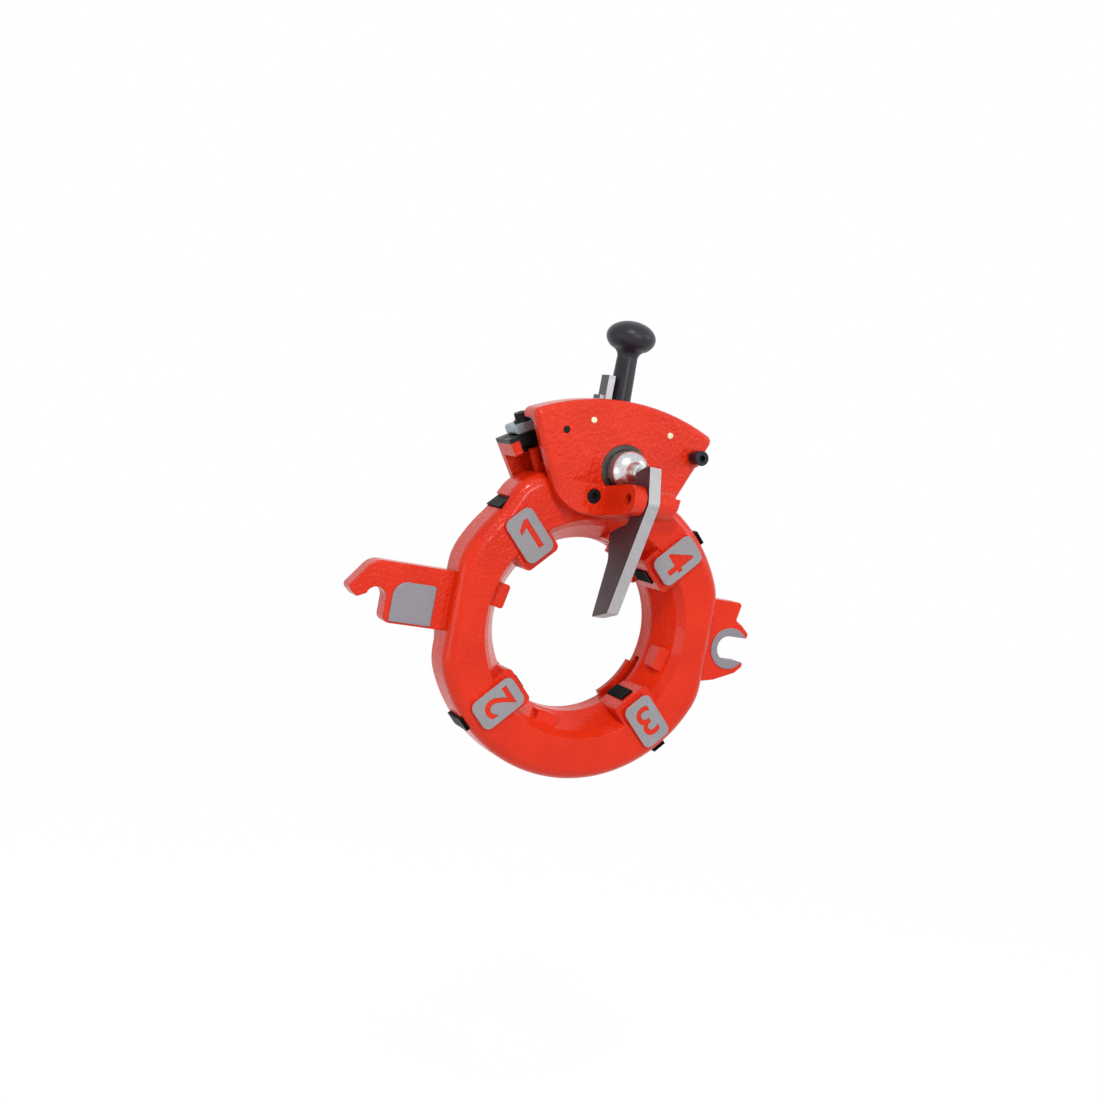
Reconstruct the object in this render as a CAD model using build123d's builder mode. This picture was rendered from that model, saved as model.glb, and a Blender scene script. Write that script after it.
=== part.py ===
from build123d import *

import os
from math import acos, atan2, cos, degrees, hypot, radians, sin, tan

# Self-opening pipe threading die head, in millimetres.
# The origin lies on the pipe axis, in the plane of the four machined number pads.
# X runs along the two arms, Z is up, and the front faces -Y, so the pipe axis is Y.
# Angles are measured about the pipe axis, from +X towards +Z, as seen from the front.

TOP = 90.0

# Clearances
RUN_GAP = 0.05
FACE_GAP = 0.3
SLIDE_GAP = 0.15
EPS = 1.0

# Screws: countersink angle, depth of a sunk head, socket size as a share of the thread
SINK_ANGLE = 90.0
SINK_DEPTH = 0.1
SOCKET_SHARE = 0.7
HANGING = (Align.CENTER, Align.CENTER, Align.MAX)

# Ring of the head casting
RING_R = 107.0
RING_FLAT = 100.5
RING_CORNER_R = 40.0
RING_EDGE_R = 9.0
RING_FRONT = 2.5
RING_BACK = 31.2
THROAT_FRONT_R = 76.0
THROAT_BACK_R = 62.0
THROAT_EDGE_R = 5.0
THROAT_TAPER_END = 27.0

# Number pads and die housings
DIE_ANGLES = (135.0, 225.0, 315.0, 45.0)
PAD_LENGTH = 36.0
PAD_WIDTH = 23.2
PAD_CORNER_R = 5.5
PAD_MID_R = 82.0
HOUSING_WIDTH = 29.0
HOUSING_INNER_R = 60.5
HOUSING_FRONT = 3.5
HOUSING_CORNER_R = 4.0

# Dies
DIE_THICKNESS = 10.0
DIE_FRONT = 8.0
DIE_BACK = 31.0
DIE_INNER_R = 59.0
DIE_OUTER_R = 109.0
TOOTH_PITCH = 3.175
TOOTH_DEPTH = 1.8
TOOTH_COUNT = 6

# Cam plate and its hub
CAM_FRONT = RING_BACK + FACE_GAP
CAM_THICKNESS = 6.0
CAM_BACK = CAM_FRONT + CAM_THICKNESS
CAM_OUTER_R = 101.0
HUB_R = 70.0
HUB_BACK = CAM_BACK + FACE_GAP
WINDOW_START = 8.0
WINDOW_END = 29.0
SPIRAL_R = 82.0
SPIRAL_RATE = 22.0
SPIRAL_BEFORE = 20.0
SPIRAL_AFTER = 16.0
RIDGE_WIDTH = 5.0
RIDGE_HEIGHT = 3.0
RIDGE_GAP = 0.35
LUG_HALF_ANGLE = 7.3
LUG_TOP_R = 127.0

# Retaining ring
KEEPER_THICKNESS = 4.5
KEEPER_OUTER_R = 80.0
KEEPER_LOBE_R = 58.3
LOBE_BEFORE = 8.0
LOBE_AFTER = 24.0
KEEPER_SCREW_R = 66.0
KEEPER_SCREW_OFFSETS = (-33.0, -5.0)
KEEPER_THREAD_R = 2.0
KEEPER_HEAD_R = 3.7
KEEPER_SCREW_LENGTH = 9.0

# Lugs cast on the throat wall
WALL_LUG_OFFSET = 33.0
WALL_LUG_WIDTH = 17.0
WALL_LUG_INNER_R = 63.0
WALL_LUG_FRONT = 11.0

# Arms
ARM_FRONT = 17.0
ARM_BACK = RING_BACK
ARM_EDGE_R = 0.9
ARM_TOP = 25.0
ARM_BOTTOM = -16.0
ARM_HIDDEN_X = 85.0
HOOK_X = -151.5
HOOK_R = 7.0
HOOK_TIP_X = -172.0
SEAT_LEFT = -140.5
SEAT_RIGHT = -110.5
SEAT_TOP = 13.0
SEAT_BOTTOM = -14.5
SEAT_RISE = 0.6
SOCKET_X = 122.5
SOCKET_R = 9.0
SOCKET_FACE_R = 14.0
SOCKET_JAW_X = 137.5
SOCKET_TOP = 34.4
SOCKET_BOTTOM = -31.0

# Neck that carries the cover and the size bar
NECK_LEFT = 123.8
NECK_RIGHT = 64.0
NECK_FRONT = 14.3
NECK_TOP_R = 112.0
NECK_ROOT_R = 98.0
POST_LEFT = 113.5
POST_RIGHT = 70.5
POST_INNER_R = 104.0
POST_LAP = 8.0
POST_FRONT = 34.0
POST_BACK = 40.0
LUG_BACK = 20.5
LEFT_LUG_START = 111.0
LEFT_LUG_END = 118.3
RIGHT_LUG_START = 65.8
RIGHT_LUG_END = 71.0
LUG_SLOT_START = 114.9
LUG_SLOT_END = 116.4
LUG_SLOT_FOOT = 121.0
LUG_SLOT_BACK = 18.5
LUG_WALL_TOP_R = 131.0
END_WALL_INNER_R = 130.5
END_WALL_FRONT = 15.0
END_WALL_LEFT = 121.0
END_WALL_RIGHT = 67.5
SHOULDER_FOOT_LEFT = 141.0
SHOULDER_LEFT = 127.0
SHOULDER_RIGHT = 117.0
SHOULDER_FOOT_RIGHT = 104.0
SHOULDER_TOP_R = 115.5
SHOULDER_BLEND_R = 30.0
EAR_BACK = 17.7
EAR_TOP_R = 149.0
EAR_HALF_ANGLE = 3.0

# Size bar with its arc slot
BAR_INNER_R = 134.5
BAR_OUTER_R = 142.5
BAR_FRONT = 18.0
BAR_BACK = POST_BACK
BAR_END_HEIGHT = 3.0
BAR_END_GAP = 0.1
SLOT_FRONT = 22.0
SLOT_BACK = 32.5
SLOT_LEFT = 120.5
SLOT_RIGHT = 69.0
BAR_SCREW_ANGLES = (122.4, 65.75)
BAR_SCREW_R = 2.0
BAR_SCREW_HEAD_R = 3.2
BAR_SCREW_LENGTH = 11.0

# Stop block on the bar
BLOCK_ANGLE = 116.6
BLOCK_HALF_ANGLE = 3.9
BLOCK_HEIGHT = 6.5
BLOCK_FRONT = 19.5
BLOCK_BACK = 37.5
CLAMP_R = 3.0
CLAMP_HEAD_R = 5.0
CLAMP_HEAD_HEIGHT = 6.5
CLAMP_SOCKET_R = 2.8
CLAMP_NUT_HEIGHT = 5.0
CLAMP_NUT_WIDTH = 10.0
COLLAR_R = 6.4
COLLAR_HEIGHT = 1.5
KNURL_COUNT = 20
KNURL_DEPTH = 0.35

# Front cover
COVER_LEFT = 117.7
COVER_RIGHT = 65.9
COVER_TOP_R = 160.0
COVER_FRONT = -6.0
COVER_BACK = NECK_FRONT - FACE_GAP
COVER_RIM = 6.0
COVER_CORNER_R = 5.0
COVER_FOOT_R = 28.0
COVER_EDGE_R = 4.0
BAR_TOP = 100.3
BAR_BOTTOM = 79.0
BAR_END_X = 44.2
BAR_END_Z = 91.5
BAR_STEP = 4.0
BAR_STEP_Z = 86.0
BAR_FACE = -12.0
BAR_SLOPE_X = -30.0
BAR_SLOPE_END = -45.0
BAR_EDGE_R = 1.4
BAR_STEP_R = 2.0
BAR_CORNER_R = 3.0
COVER_FIX_X = 51.5
COVER_FIX_Z = 131.2
COVER_BOSS_R = 7.5
COVER_SCREW_X = 22.0
COVER_SCREW_Z = 92.0
COVER_SCREW_R = 3.0
COVER_SCREW_HEAD_R = 5.0
COVER_SCREW_HEAD = 6.0
COVER_SCREW_LENGTH = 22.0
CAP_SCREW_R = 3.0
CAP_SCREW_HEAD_R = 5.2
CAP_SCREW_HEAD = 7.0
CAP_SCREW_STAND = 5.0
CAP_SHOULDER_R = 4.4
DOWEL_R = 2.5
DOWEL_X = -48.3
DOWEL_Z = 132.7
RIVET_X = 29.8
RIVET_Z = 142.6
RIVET_HEAD_R = 2.2
RIVET_SHANK_R = 1.2
RIVET_SHANK = 4.0

# Trigger fork, rocker lever and its pin
FORK_LEFT = -14.0
FORK_RIGHT = 17.0
PIVOT_Y = -46.0
PIVOT_Z = 94.5
FORK_KNUCKLE_R = 10.0
FORK_SLOT_BOTTOM = -27.0
LEVER_THICKNESS = 8.5
FORK_SIDE_GAP = 0.4
PIN_R = 4.0
PIN_RECESS = 3.0

# Plunger, bush and spring
HUB_Z = 113.3
BUSH_R = 17.4
BUSH_WALL_R = 20.0
BUSH_FRONT = -7.0
BUSH_BACK = 12.0
BUSH_STEP = 6.0
PLUNGER_R = 13.6
PLUNGER_RIM = -16.0
PLUNGER_TAIL = 1.0
PLUNGER_ROOM = -24.0
PLUNGER_DOME = 6.0
NOSE_R = 5.6
NOSE_END = -31.2
CUP_R = 9.5
CUP_FLOOR = -9.0
STEM_R = 4.0
STEM_END = 18.3
SPRING_R = 7.2
SPRING_WIRE = 1.3
SPRING_TURNS = 4
NUT_WIDTH = 13.0
NUT_HEIGHT = 3.7
NUT_ROOM_R = 9.0

# Throwout arm and grip
ARM_PLATE_FRONT = 26.5
ARM_PLATE_HALF = 14.0
ARM_PLATE_BOTTOM = 113.0
ARM_PLATE_TOP = 124.3
ARM_BAR_FRONT = 23.0
ARM_BAR_HALF = 7.5
ARM_BAR_BOTTOM = 122.8
ARM_BAR_TOP = 160.0
ARM_BOLT_X = 8.5
ARM_BOLT_Z = 118.5
ARM_BOLT_R = 3.0
ARM_BOLT_HEAD_R = 5.0
ARM_BOLT_HEAD = 6.0
GRIP_X = 2.4
GRIP_Y = 27.0
SHANK_R = 5.0
SHANK_TOP = 200.0
GRIP_R = 8.0
GRIP_BOTTOM = 161.0
GRIP_NECK_R = 7.3
KNOB_R = 17.5
KNOB_HALF_HEIGHT = 11.5
KNOB_Z = 205.8

# Release pawl
PAWL_LEFT = -13.0
PAWL_RIGHT = -8.0
PAWL_PIVOT_Y = 27.5
PAWL_PIVOT_Z = 150.0
PAWL_PIN_R = 2.5
PAWL_PIN_HEAD_R = 3.8
PAWL_PIN_HEAD = 1.2
PAWL_PIN_END = -2.0
PAWL_TOP = 176.5
PAWL_FOOT_FRONT = STEM_END + FACE_GAP
PAWL_FOOT_BACK = 21.8
PAWL_FOOT_RIGHT = 5.0
PAWL_FOOT_BOTTOM = 113.2
PAWL_FOOT_TOP = 120.0
PAWL_SPRING_R = 2.6
PAWL_SPRING_WIRE = 0.8
PAWL_SPRING_TURNS = 4
PAWL_SPRING_SEAT = 30.0
PAWL_SPRING_Z = 117.0
PAWL_TAB_BACK = 30.0
PAWL_SLOT_GAP = 0.5
PAWL_STEP = 3.5
PAWL_STEP_BOTTOM = 157.5
PAWL_STEP_TOP = 162.0
PAWL_STEP_FRONT = 19.5


def front(depth):
    """Sketch plane at the given Y, facing the front."""
    return Plane.XZ.offset(-depth)


def polar(radius, angle):
    """Point in the front view at a radius and angle about the pipe axis."""
    return (radius * cos(radians(angle)), radius * sin(radians(angle)))


def sector(inner, outer, start, end):
    """Flat sector of a ring about the pipe axis."""
    middle = (start + end) / 2
    with BuildSketch() as shape:
        with BuildLine():
            ThreePointArc(polar(outer, start), polar(outer, middle), polar(outer, end))
            Line(polar(outer, end), polar(inner, end))
            ThreePointArc(polar(inner, end), polar(inner, middle), polar(inner, start))
            Line(polar(inner, start), polar(outer, start))
        make_face()
    return shape.sketch


def tangent_point(x, z, centre, radius, side):
    """Where a line from (x, z) touches a circle, on the chosen side."""
    reach = hypot(x - centre[0], z - centre[1])
    turn = degrees(atan2(z - centre[1], x - centre[0])) + side * degrees(acos(radius / reach))
    offset = polar(radius, turn)
    return (centre[0] + offset[0], centre[1] + offset[1])


def spiral_band(middle_angle, width):
    """Flat band along the cam's spiral, whose radius grows with the angle."""
    start = middle_angle - SPIRAL_BEFORE
    end = middle_angle + SPIRAL_AFTER

    def edge(side):
        """Three points of the band's outer or inner edge."""
        stations = (start, (start + end) / 2, end)
        growth = [SPIRAL_RATE * radians(a - middle_angle) for a in stations]
        return [polar(SPIRAL_R + g + side * width / 2, a) for g, a in zip(growth, stations)]

    outer = edge(1)
    inner = edge(-1)
    with BuildSketch() as shape:
        with BuildLine():
            ThreePointArc(*outer)
            Line(outer[2], inner[2])
            ThreePointArc(*reversed(inner))
            Line(inner[0], outer[0])
        make_face()
    return shape.sketch


def radial_plane(angle, radius, depth):
    """Plane whose normal points away from the pipe axis, with X along +Y."""
    x, z = polar(radius, angle)
    direction = polar(1, angle)
    return Plane(origin=(x, depth, z), x_dir=(0, 1, 0), z_dir=(direction[0], 0, direction[1]))


# Head casting: ring, arms, neck, die housings and cam hub in one piece
with BuildPart() as head_body:
    # Ring with side flats, a shoulder up to the left wall and a rounded front edge
    with BuildSketch(front(RING_BACK)):
        Circle(RING_R)
        Rectangle(2 * RING_FLAT, 2 * RING_R + EPS, mode=Mode.INTERSECT)
        fillet(vertices(), RING_CORNER_R)
        with BuildLine():
            shoulder_left = polar(SHOULDER_TOP_R, SHOULDER_LEFT)
            shoulder_right = polar(SHOULDER_TOP_R, SHOULDER_RIGHT)
            shoulder_middle = polar(SHOULDER_TOP_R, (SHOULDER_LEFT + SHOULDER_RIGHT) / 2)
            ThreePointArc(shoulder_left, shoulder_middle, shoulder_right)
            Polyline(
                shoulder_right,
                polar(RING_R - EPS, SHOULDER_FOOT_RIGHT),
                polar(NECK_ROOT_R, SHOULDER_FOOT_RIGHT),
                polar(NECK_ROOT_R, SHOULDER_FOOT_LEFT),
                polar(RING_R - EPS, SHOULDER_FOOT_LEFT),
                shoulder_left,
            )
        make_face()
        shoulder_ends = [shoulder_left, shoulder_right]
        for angle in (SHOULDER_FOOT_LEFT, SHOULDER_FOOT_RIGHT):
            shoulder_ends.append(polar(RING_R, angle))
        fillet([vertices().sort_by_distance((*end, 0))[0] for end in shoulder_ends], SHOULDER_BLEND_R)
    extrude(amount=RING_BACK - RING_FRONT)
    fillet(edges().filter_by_position(Axis.Y, RING_FRONT - 0.01, RING_FRONT + 0.01), RING_EDGE_R)

    # Hook arm on the left and socket arm on the right
    with BuildSketch(front(ARM_BACK)):
        with BuildLine():
            notch_left = (HOOK_X - HOOK_R * cos(radians(15)), HOOK_R * sin(radians(15)))
            FilletPolyline(
                (-ARM_HIDDEN_X, ARM_TOP),
                (HOOK_X - 5, ARM_TOP),
                (HOOK_TIP_X, 4.5),
                (HOOK_TIP_X + 7, -1.5),
                notch_left,
                radius=[12, 3.5, 2.5],
            )
            ThreePointArc(notch_left, (HOOK_X, HOOK_R), (HOOK_X + HOOK_R, 0))
            FilletPolyline(
                (HOOK_X + HOOK_R, 0),
                (HOOK_X + HOOK_R, ARM_BOTTOM),
                (-ARM_HIDDEN_X, ARM_BOTTOM),
                radius=5,
            )
            Line((-ARM_HIDDEN_X, ARM_BOTTOM), (-ARM_HIDDEN_X, ARM_TOP))
        make_face()
        with BuildLine():
            FilletPolyline(
                (ARM_HIDDEN_X, SOCKET_TOP),
                (SOCKET_X + 6, SOCKET_TOP),
                (SOCKET_X + 3.3, 21),
                (SOCKET_X + 9, 18),
                (SOCKET_JAW_X + 0.5, 12.5),
                (SOCKET_JAW_X, SOCKET_R),
                (SOCKET_X, SOCKET_R),
                radius=[2.5, 2, 6, 2, 1],
            )
            ThreePointArc((SOCKET_X, SOCKET_R), (SOCKET_X - SOCKET_R, 0), (SOCKET_X, -SOCKET_R))
            FilletPolyline(
                (SOCKET_X, -SOCKET_R),
                (SOCKET_JAW_X, -SOCKET_R),
                (SOCKET_JAW_X + 0.5, -12),
                (SOCKET_X + 10, -17.5),
                (SOCKET_X - 6.5, -24.5),
                (ARM_HIDDEN_X, SOCKET_BOTTOM),
                radius=[1, 2, 6, 8],
            )
            Line((ARM_HIDDEN_X, SOCKET_BOTTOM), (ARM_HIDDEN_X, SOCKET_TOP))
        make_face()
    extrude(amount=ARM_BACK - ARM_FRONT)
    fillet(edges().filter_by_position(Axis.Y, ARM_FRONT - 0.01, ARM_FRONT + 0.01), ARM_EDGE_R)

    # Neck over the ring, with the posts and lugs that carry the bar and the cover
    with BuildSketch(front(RING_BACK)):
        add(sector(NECK_ROOT_R, NECK_TOP_R, NECK_RIGHT, NECK_LEFT))
        post_foot_r = POST_INNER_R + POST_LAP
        add(sector(NECK_ROOT_R, post_foot_r, POST_LEFT, NECK_LEFT))
        add(sector(NECK_ROOT_R, post_foot_r, NECK_RIGHT, POST_RIGHT))
    extrude(amount=RING_BACK - NECK_FRONT)
    with BuildSketch(front(POST_BACK)):
        add(sector(POST_INNER_R, BAR_INNER_R, POST_LEFT, NECK_LEFT))
        add(sector(POST_INNER_R, BAR_INNER_R, NECK_RIGHT, POST_RIGHT))
    extrude(amount=POST_BACK - POST_FRONT)
    with BuildSketch(front(POST_FRONT)):
        add(sector(POST_INNER_R, post_foot_r, POST_LEFT, NECK_LEFT))
        add(sector(POST_INNER_R, post_foot_r, NECK_RIGHT, POST_RIGHT))
    extrude(amount=POST_FRONT - NECK_FRONT)
    with BuildSketch(front(LUG_BACK)):
        add(sector(NECK_TOP_R - EPS, LUG_WALL_TOP_R, LEFT_LUG_START, LEFT_LUG_END))
        add(sector(NECK_TOP_R - EPS, BAR_INNER_R - FACE_GAP, LEFT_LUG_START, LUG_SLOT_START))
        add(sector(NECK_TOP_R - EPS, BAR_INNER_R, RIGHT_LUG_START, RIGHT_LUG_END))
    extrude(amount=LUG_BACK - NECK_FRONT)
    with BuildSketch(front(LUG_SLOT_BACK)):
        add(sector(LUG_SLOT_FOOT, LUG_WALL_TOP_R + EPS, LUG_SLOT_START, LUG_SLOT_END))
    extrude(amount=LUG_SLOT_BACK - NECK_FRONT + EPS, mode=Mode.SUBTRACT)
    with BuildSketch(front(POST_BACK)):
        wall_top_r = BAR_OUTER_R - BAR_END_HEIGHT
        add(sector(END_WALL_INNER_R, wall_top_r, END_WALL_LEFT, NECK_LEFT))
    extrude(amount=POST_BACK - END_WALL_FRONT)
    with BuildSketch(front(POST_BACK)):
        add(sector(END_WALL_INNER_R, wall_top_r, NECK_RIGHT, END_WALL_RIGHT))
    extrude(amount=POST_BACK - BAR_FRONT)
    with BuildSketch(front(EAR_BACK)):
        for x, z in ((COVER_FIX_X, COVER_FIX_Z), (DOWEL_X, DOWEL_Z)):
            ear_angle = degrees(atan2(z, x))
            add(
                sector(
                    NECK_TOP_R - EPS,
                    EAR_TOP_R,
                    ear_angle - EAR_HALF_ANGLE,
                    ear_angle + EAR_HALF_ANGLE,
                )
            )
    extrude(amount=EAR_BACK - NECK_FRONT)

    # Throat, wide at the front and tapering to the hub
    with BuildSketch(Plane.YZ):
        with BuildLine():
            FilletPolyline(
                (RING_FRONT - EPS, THROAT_FRONT_R + 8),
                (RING_FRONT, THROAT_FRONT_R + 1.2),
                (RING_FRONT + 6, THROAT_FRONT_R - 3.5),
                (THROAT_TAPER_END, THROAT_BACK_R),
                (RING_BACK + EPS, THROAT_BACK_R),
                radius=[1, THROAT_EDGE_R, 4],
            )
            Polyline(
                (RING_BACK + EPS, THROAT_BACK_R),
                (RING_BACK + EPS, 0),
                (RING_FRONT - EPS, 0),
                (RING_FRONT - EPS, THROAT_FRONT_R + 8),
            )
        make_face()
    revolve(axis=Axis.Y, mode=Mode.SUBTRACT)

    # Die housings that reach into the throat, and the raised pads in front of them
    with BuildSketch(front(RING_BACK)):
        housing_outer = PAD_MID_R + PAD_LENGTH / 2 - 6
        with PolarLocations((HOUSING_INNER_R + housing_outer) / 2, 4, start_angle=45):
            RectangleRounded(housing_outer - HOUSING_INNER_R, HOUSING_WIDTH, HOUSING_CORNER_R)
    extrude(amount=RING_BACK - HOUSING_FRONT)
    with BuildSketch(front(RING_FRONT + 5)):
        with PolarLocations(PAD_MID_R, 4, start_angle=45):
            RectangleRounded(PAD_LENGTH, PAD_WIDTH, PAD_CORNER_R)
    extrude(amount=RING_FRONT + 5)

    # Lugs on the throat wall between the housings
    with BuildSketch(front(RING_BACK)):
        lug_outer_r = THROAT_FRONT_R + 2
        with PolarLocations((WALL_LUG_INNER_R + lug_outer_r) / 2, 4, start_angle=45 + WALL_LUG_OFFSET):
            RectangleRounded(lug_outer_r - WALL_LUG_INNER_R, WALL_LUG_WIDTH, 2)
    extrude(amount=RING_BACK - WALL_LUG_FRONT)

    # Hub on which the cam plate turns, open beside each die
    with BuildSketch(front(HUB_BACK)):
        Circle(HUB_R)
        Circle(THROAT_BACK_R, mode=Mode.SUBTRACT)
    extrude(amount=HUB_BACK - RING_BACK)
    with BuildSketch(front(HUB_BACK + EPS)):
        for angle in DIE_ANGLES:
            add(sector(THROAT_BACK_R - 2, HUB_R + 2, angle + WINDOW_START, angle + WINDOW_END))
    extrude(amount=HUB_BACK - RING_BACK + EPS, mode=Mode.SUBTRACT)

    # Annular recess for the cam's ridges
    spiral_low = SPIRAL_R - SPIRAL_RATE * radians(SPIRAL_BEFORE) - RIDGE_WIDTH / 2 - EPS
    spiral_high = SPIRAL_R + SPIRAL_RATE * radians(SPIRAL_AFTER) + RIDGE_WIDTH / 2 + EPS
    with BuildSketch(front(RING_BACK)):
        Circle(spiral_high)
        Circle(spiral_low, mode=Mode.SUBTRACT)
    extrude(amount=RIDGE_HEIGHT, mode=Mode.SUBTRACT)

    # Radial slots for the dies, open to the cam plate
    with BuildSketch(front(RING_BACK)):
        with PolarLocations((DIE_OUTER_R + DIE_INNER_R) / 2, 4, start_angle=45):
            Rectangle(DIE_OUTER_R - DIE_INNER_R + 30, DIE_THICKNESS + 2 * SLIDE_GAP)
    extrude(amount=RING_BACK - DIE_FRONT + SLIDE_GAP, mode=Mode.SUBTRACT)

    # Machined seat on the hook arm and spot face round the socket
    with BuildSketch(front(ARM_FRONT + EPS)):
        with BuildLine():
            FilletPolyline(
                (SEAT_RIGHT, SEAT_BOTTOM),
                (SEAT_RIGHT, SEAT_TOP),
                (SEAT_LEFT, SEAT_TOP),
                (SEAT_LEFT, SEAT_BOTTOM),
                radius=[2, 10],
            )
            Line((SEAT_LEFT, SEAT_BOTTOM), (SEAT_RIGHT, SEAT_BOTTOM))
        make_face()
    extrude(amount=EPS + SEAT_RISE)
    with BuildSketch(front(ARM_FRONT + EPS)):
        with BuildLine():
            Line((SOCKET_JAW_X - 1.5, SOCKET_R), (SOCKET_X, SOCKET_R))
            ThreePointArc((SOCKET_X, SOCKET_R), (SOCKET_X - SOCKET_R, 0), (SOCKET_X, -SOCKET_R))
            Line((SOCKET_X, -SOCKET_R), (SOCKET_JAW_X - 1.5, -SOCKET_R))
            ThreePointArc(
                (SOCKET_JAW_X - 1.5, -SOCKET_R),
                (SOCKET_X - SOCKET_FACE_R, 0),
                (SOCKET_JAW_X - 1.5, SOCKET_R),
            )
        make_face()
    extrude(amount=EPS + SEAT_RISE)

    # Room behind the cover for the bush, the plunger's nut and its stem
    with BuildSketch(front(BUSH_BACK + EPS)):
        with Locations((0, HUB_Z)):
            Circle(BUSH_WALL_R + FACE_GAP)
    extrude(amount=BUSH_BACK + EPS + 20, mode=Mode.SUBTRACT)
    with BuildSketch(front(STEM_END + 5)):
        with Locations((0, HUB_Z)):
            Circle(NUT_ROOM_R)
    extrude(amount=STEM_END + 25, mode=Mode.SUBTRACT)

    # Threaded holes for the cover, the size bar and the retaining ring
    with BuildSketch(front(COVER_SCREW_LENGTH)):
        with Locations((-COVER_SCREW_X, COVER_SCREW_Z), (COVER_SCREW_X, COVER_SCREW_Z)):
            Circle(COVER_SCREW_R)
    extrude(amount=COVER_SCREW_LENGTH + EPS, mode=Mode.SUBTRACT)
    with BuildSketch(front(EAR_BACK + EPS)):
        with Locations((COVER_FIX_X, COVER_FIX_Z)):
            Circle(CAP_SCREW_R)
        with Locations((DOWEL_X, DOWEL_Z)):
            Circle(DOWEL_R)
    extrude(amount=EAR_BACK + 20, mode=Mode.SUBTRACT)
    for angle in BAR_SCREW_ANGLES:
        with BuildSketch(radial_plane(angle, BAR_OUTER_R, (BAR_FRONT + BAR_BACK) / 2)):
            Circle(BAR_SCREW_R)
        extrude(amount=-BAR_SCREW_LENGTH, mode=Mode.SUBTRACT)
    with BuildSketch(front(HUB_BACK)):
        for angle in DIE_ANGLES:
            for turn in KEEPER_SCREW_OFFSETS:
                with Locations(polar(KEEPER_SCREW_R, angle + turn)):
                    Circle(KEEPER_THREAD_R)
    extrude(amount=KEEPER_SCREW_LENGTH - KEEPER_THICKNESS, mode=Mode.SUBTRACT)

head_body.part.label = "head_body"
export_step(head_body.part, "parts/head_body.step")


# Cam plate with four spiral ridges and the lug for the throwout arm
with BuildPart() as cam_plate:
    with BuildSketch(front(CAM_BACK)):
        Circle(CAM_OUTER_R)
        add(sector(CAM_OUTER_R - 10, LUG_TOP_R, TOP - LUG_HALF_ANGLE, TOP + LUG_HALF_ANGLE))
        Circle(HUB_R + RUN_GAP, mode=Mode.SUBTRACT)
        with Locations((-ARM_BOLT_X, ARM_BOLT_Z), (ARM_BOLT_X, ARM_BOLT_Z)):
            Circle(ARM_BOLT_R + RUN_GAP, mode=Mode.SUBTRACT)
    extrude(amount=CAM_THICKNESS)
    with BuildSketch(front(CAM_FRONT)):
        for angle in DIE_ANGLES:
            add(spiral_band(angle, RIDGE_WIDTH))
    extrude(amount=RIDGE_HEIGHT)

cam_plate.part.label = "cam_plate"
export_step(cam_plate.part, "parts/cam_plate.step")


# Retaining ring with a guide lobe behind each die
with BuildPart() as retaining_ring:
    keeper_back = HUB_BACK + KEEPER_THICKNESS
    with BuildSketch(front(keeper_back)):
        Circle(KEEPER_OUTER_R)
        Circle(THROAT_BACK_R, mode=Mode.SUBTRACT)
        for angle in DIE_ANGLES:
            add(sector(KEEPER_LOBE_R, THROAT_BACK_R + 2, angle - LOBE_BEFORE, angle + LOBE_AFTER))
    extrude(amount=KEEPER_THICKNESS)
    for angle in DIE_ANGLES:
        for turn in KEEPER_SCREW_OFFSETS:
            x, z = polar(KEEPER_SCREW_R, angle + turn)
            with Locations(Plane(origin=(x, keeper_back, z), z_dir=(0, 1, 0))):
                CounterSinkHole(
                    KEEPER_THREAD_R + RUN_GAP,
                    KEEPER_HEAD_R,
                    KEEPER_THICKNESS + EPS,
                    counter_sink_angle=SINK_ANGLE,
                )

retaining_ring.part.label = "retaining_ring"
export_step(retaining_ring.part, "parts/retaining_ring.step")


# Countersunk screws of the retaining ring
with BuildPart() as retaining_screws:
    screw_r = KEEPER_THREAD_R - RUN_GAP
    screw_head_r = KEEPER_HEAD_R - 2 * SINK_DEPTH
    for angle in DIE_ANGLES:
        for turn in KEEPER_SCREW_OFFSETS:
            x, z = polar(KEEPER_SCREW_R, angle + turn)
            seat = Plane(origin=(x, keeper_back - SINK_DEPTH, z), z_dir=(0, 1, 0))
            with Locations(seat):
                Cylinder(screw_r, KEEPER_SCREW_LENGTH - 2 * FACE_GAP, align=HANGING)
                Cone(screw_r, screw_head_r, screw_head_r - screw_r, align=HANGING)
            with BuildSketch(seat):
                RegularPolygon(KEEPER_THREAD_R * SOCKET_SHARE, 6)
            extrude(amount=-KEEPER_THREAD_R * SOCKET_SHARE, mode=Mode.SUBTRACT)

retaining_screws.part.label = "retaining_screws"
export_step(retaining_screws.part, "parts/retaining_screws.step")


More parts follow.
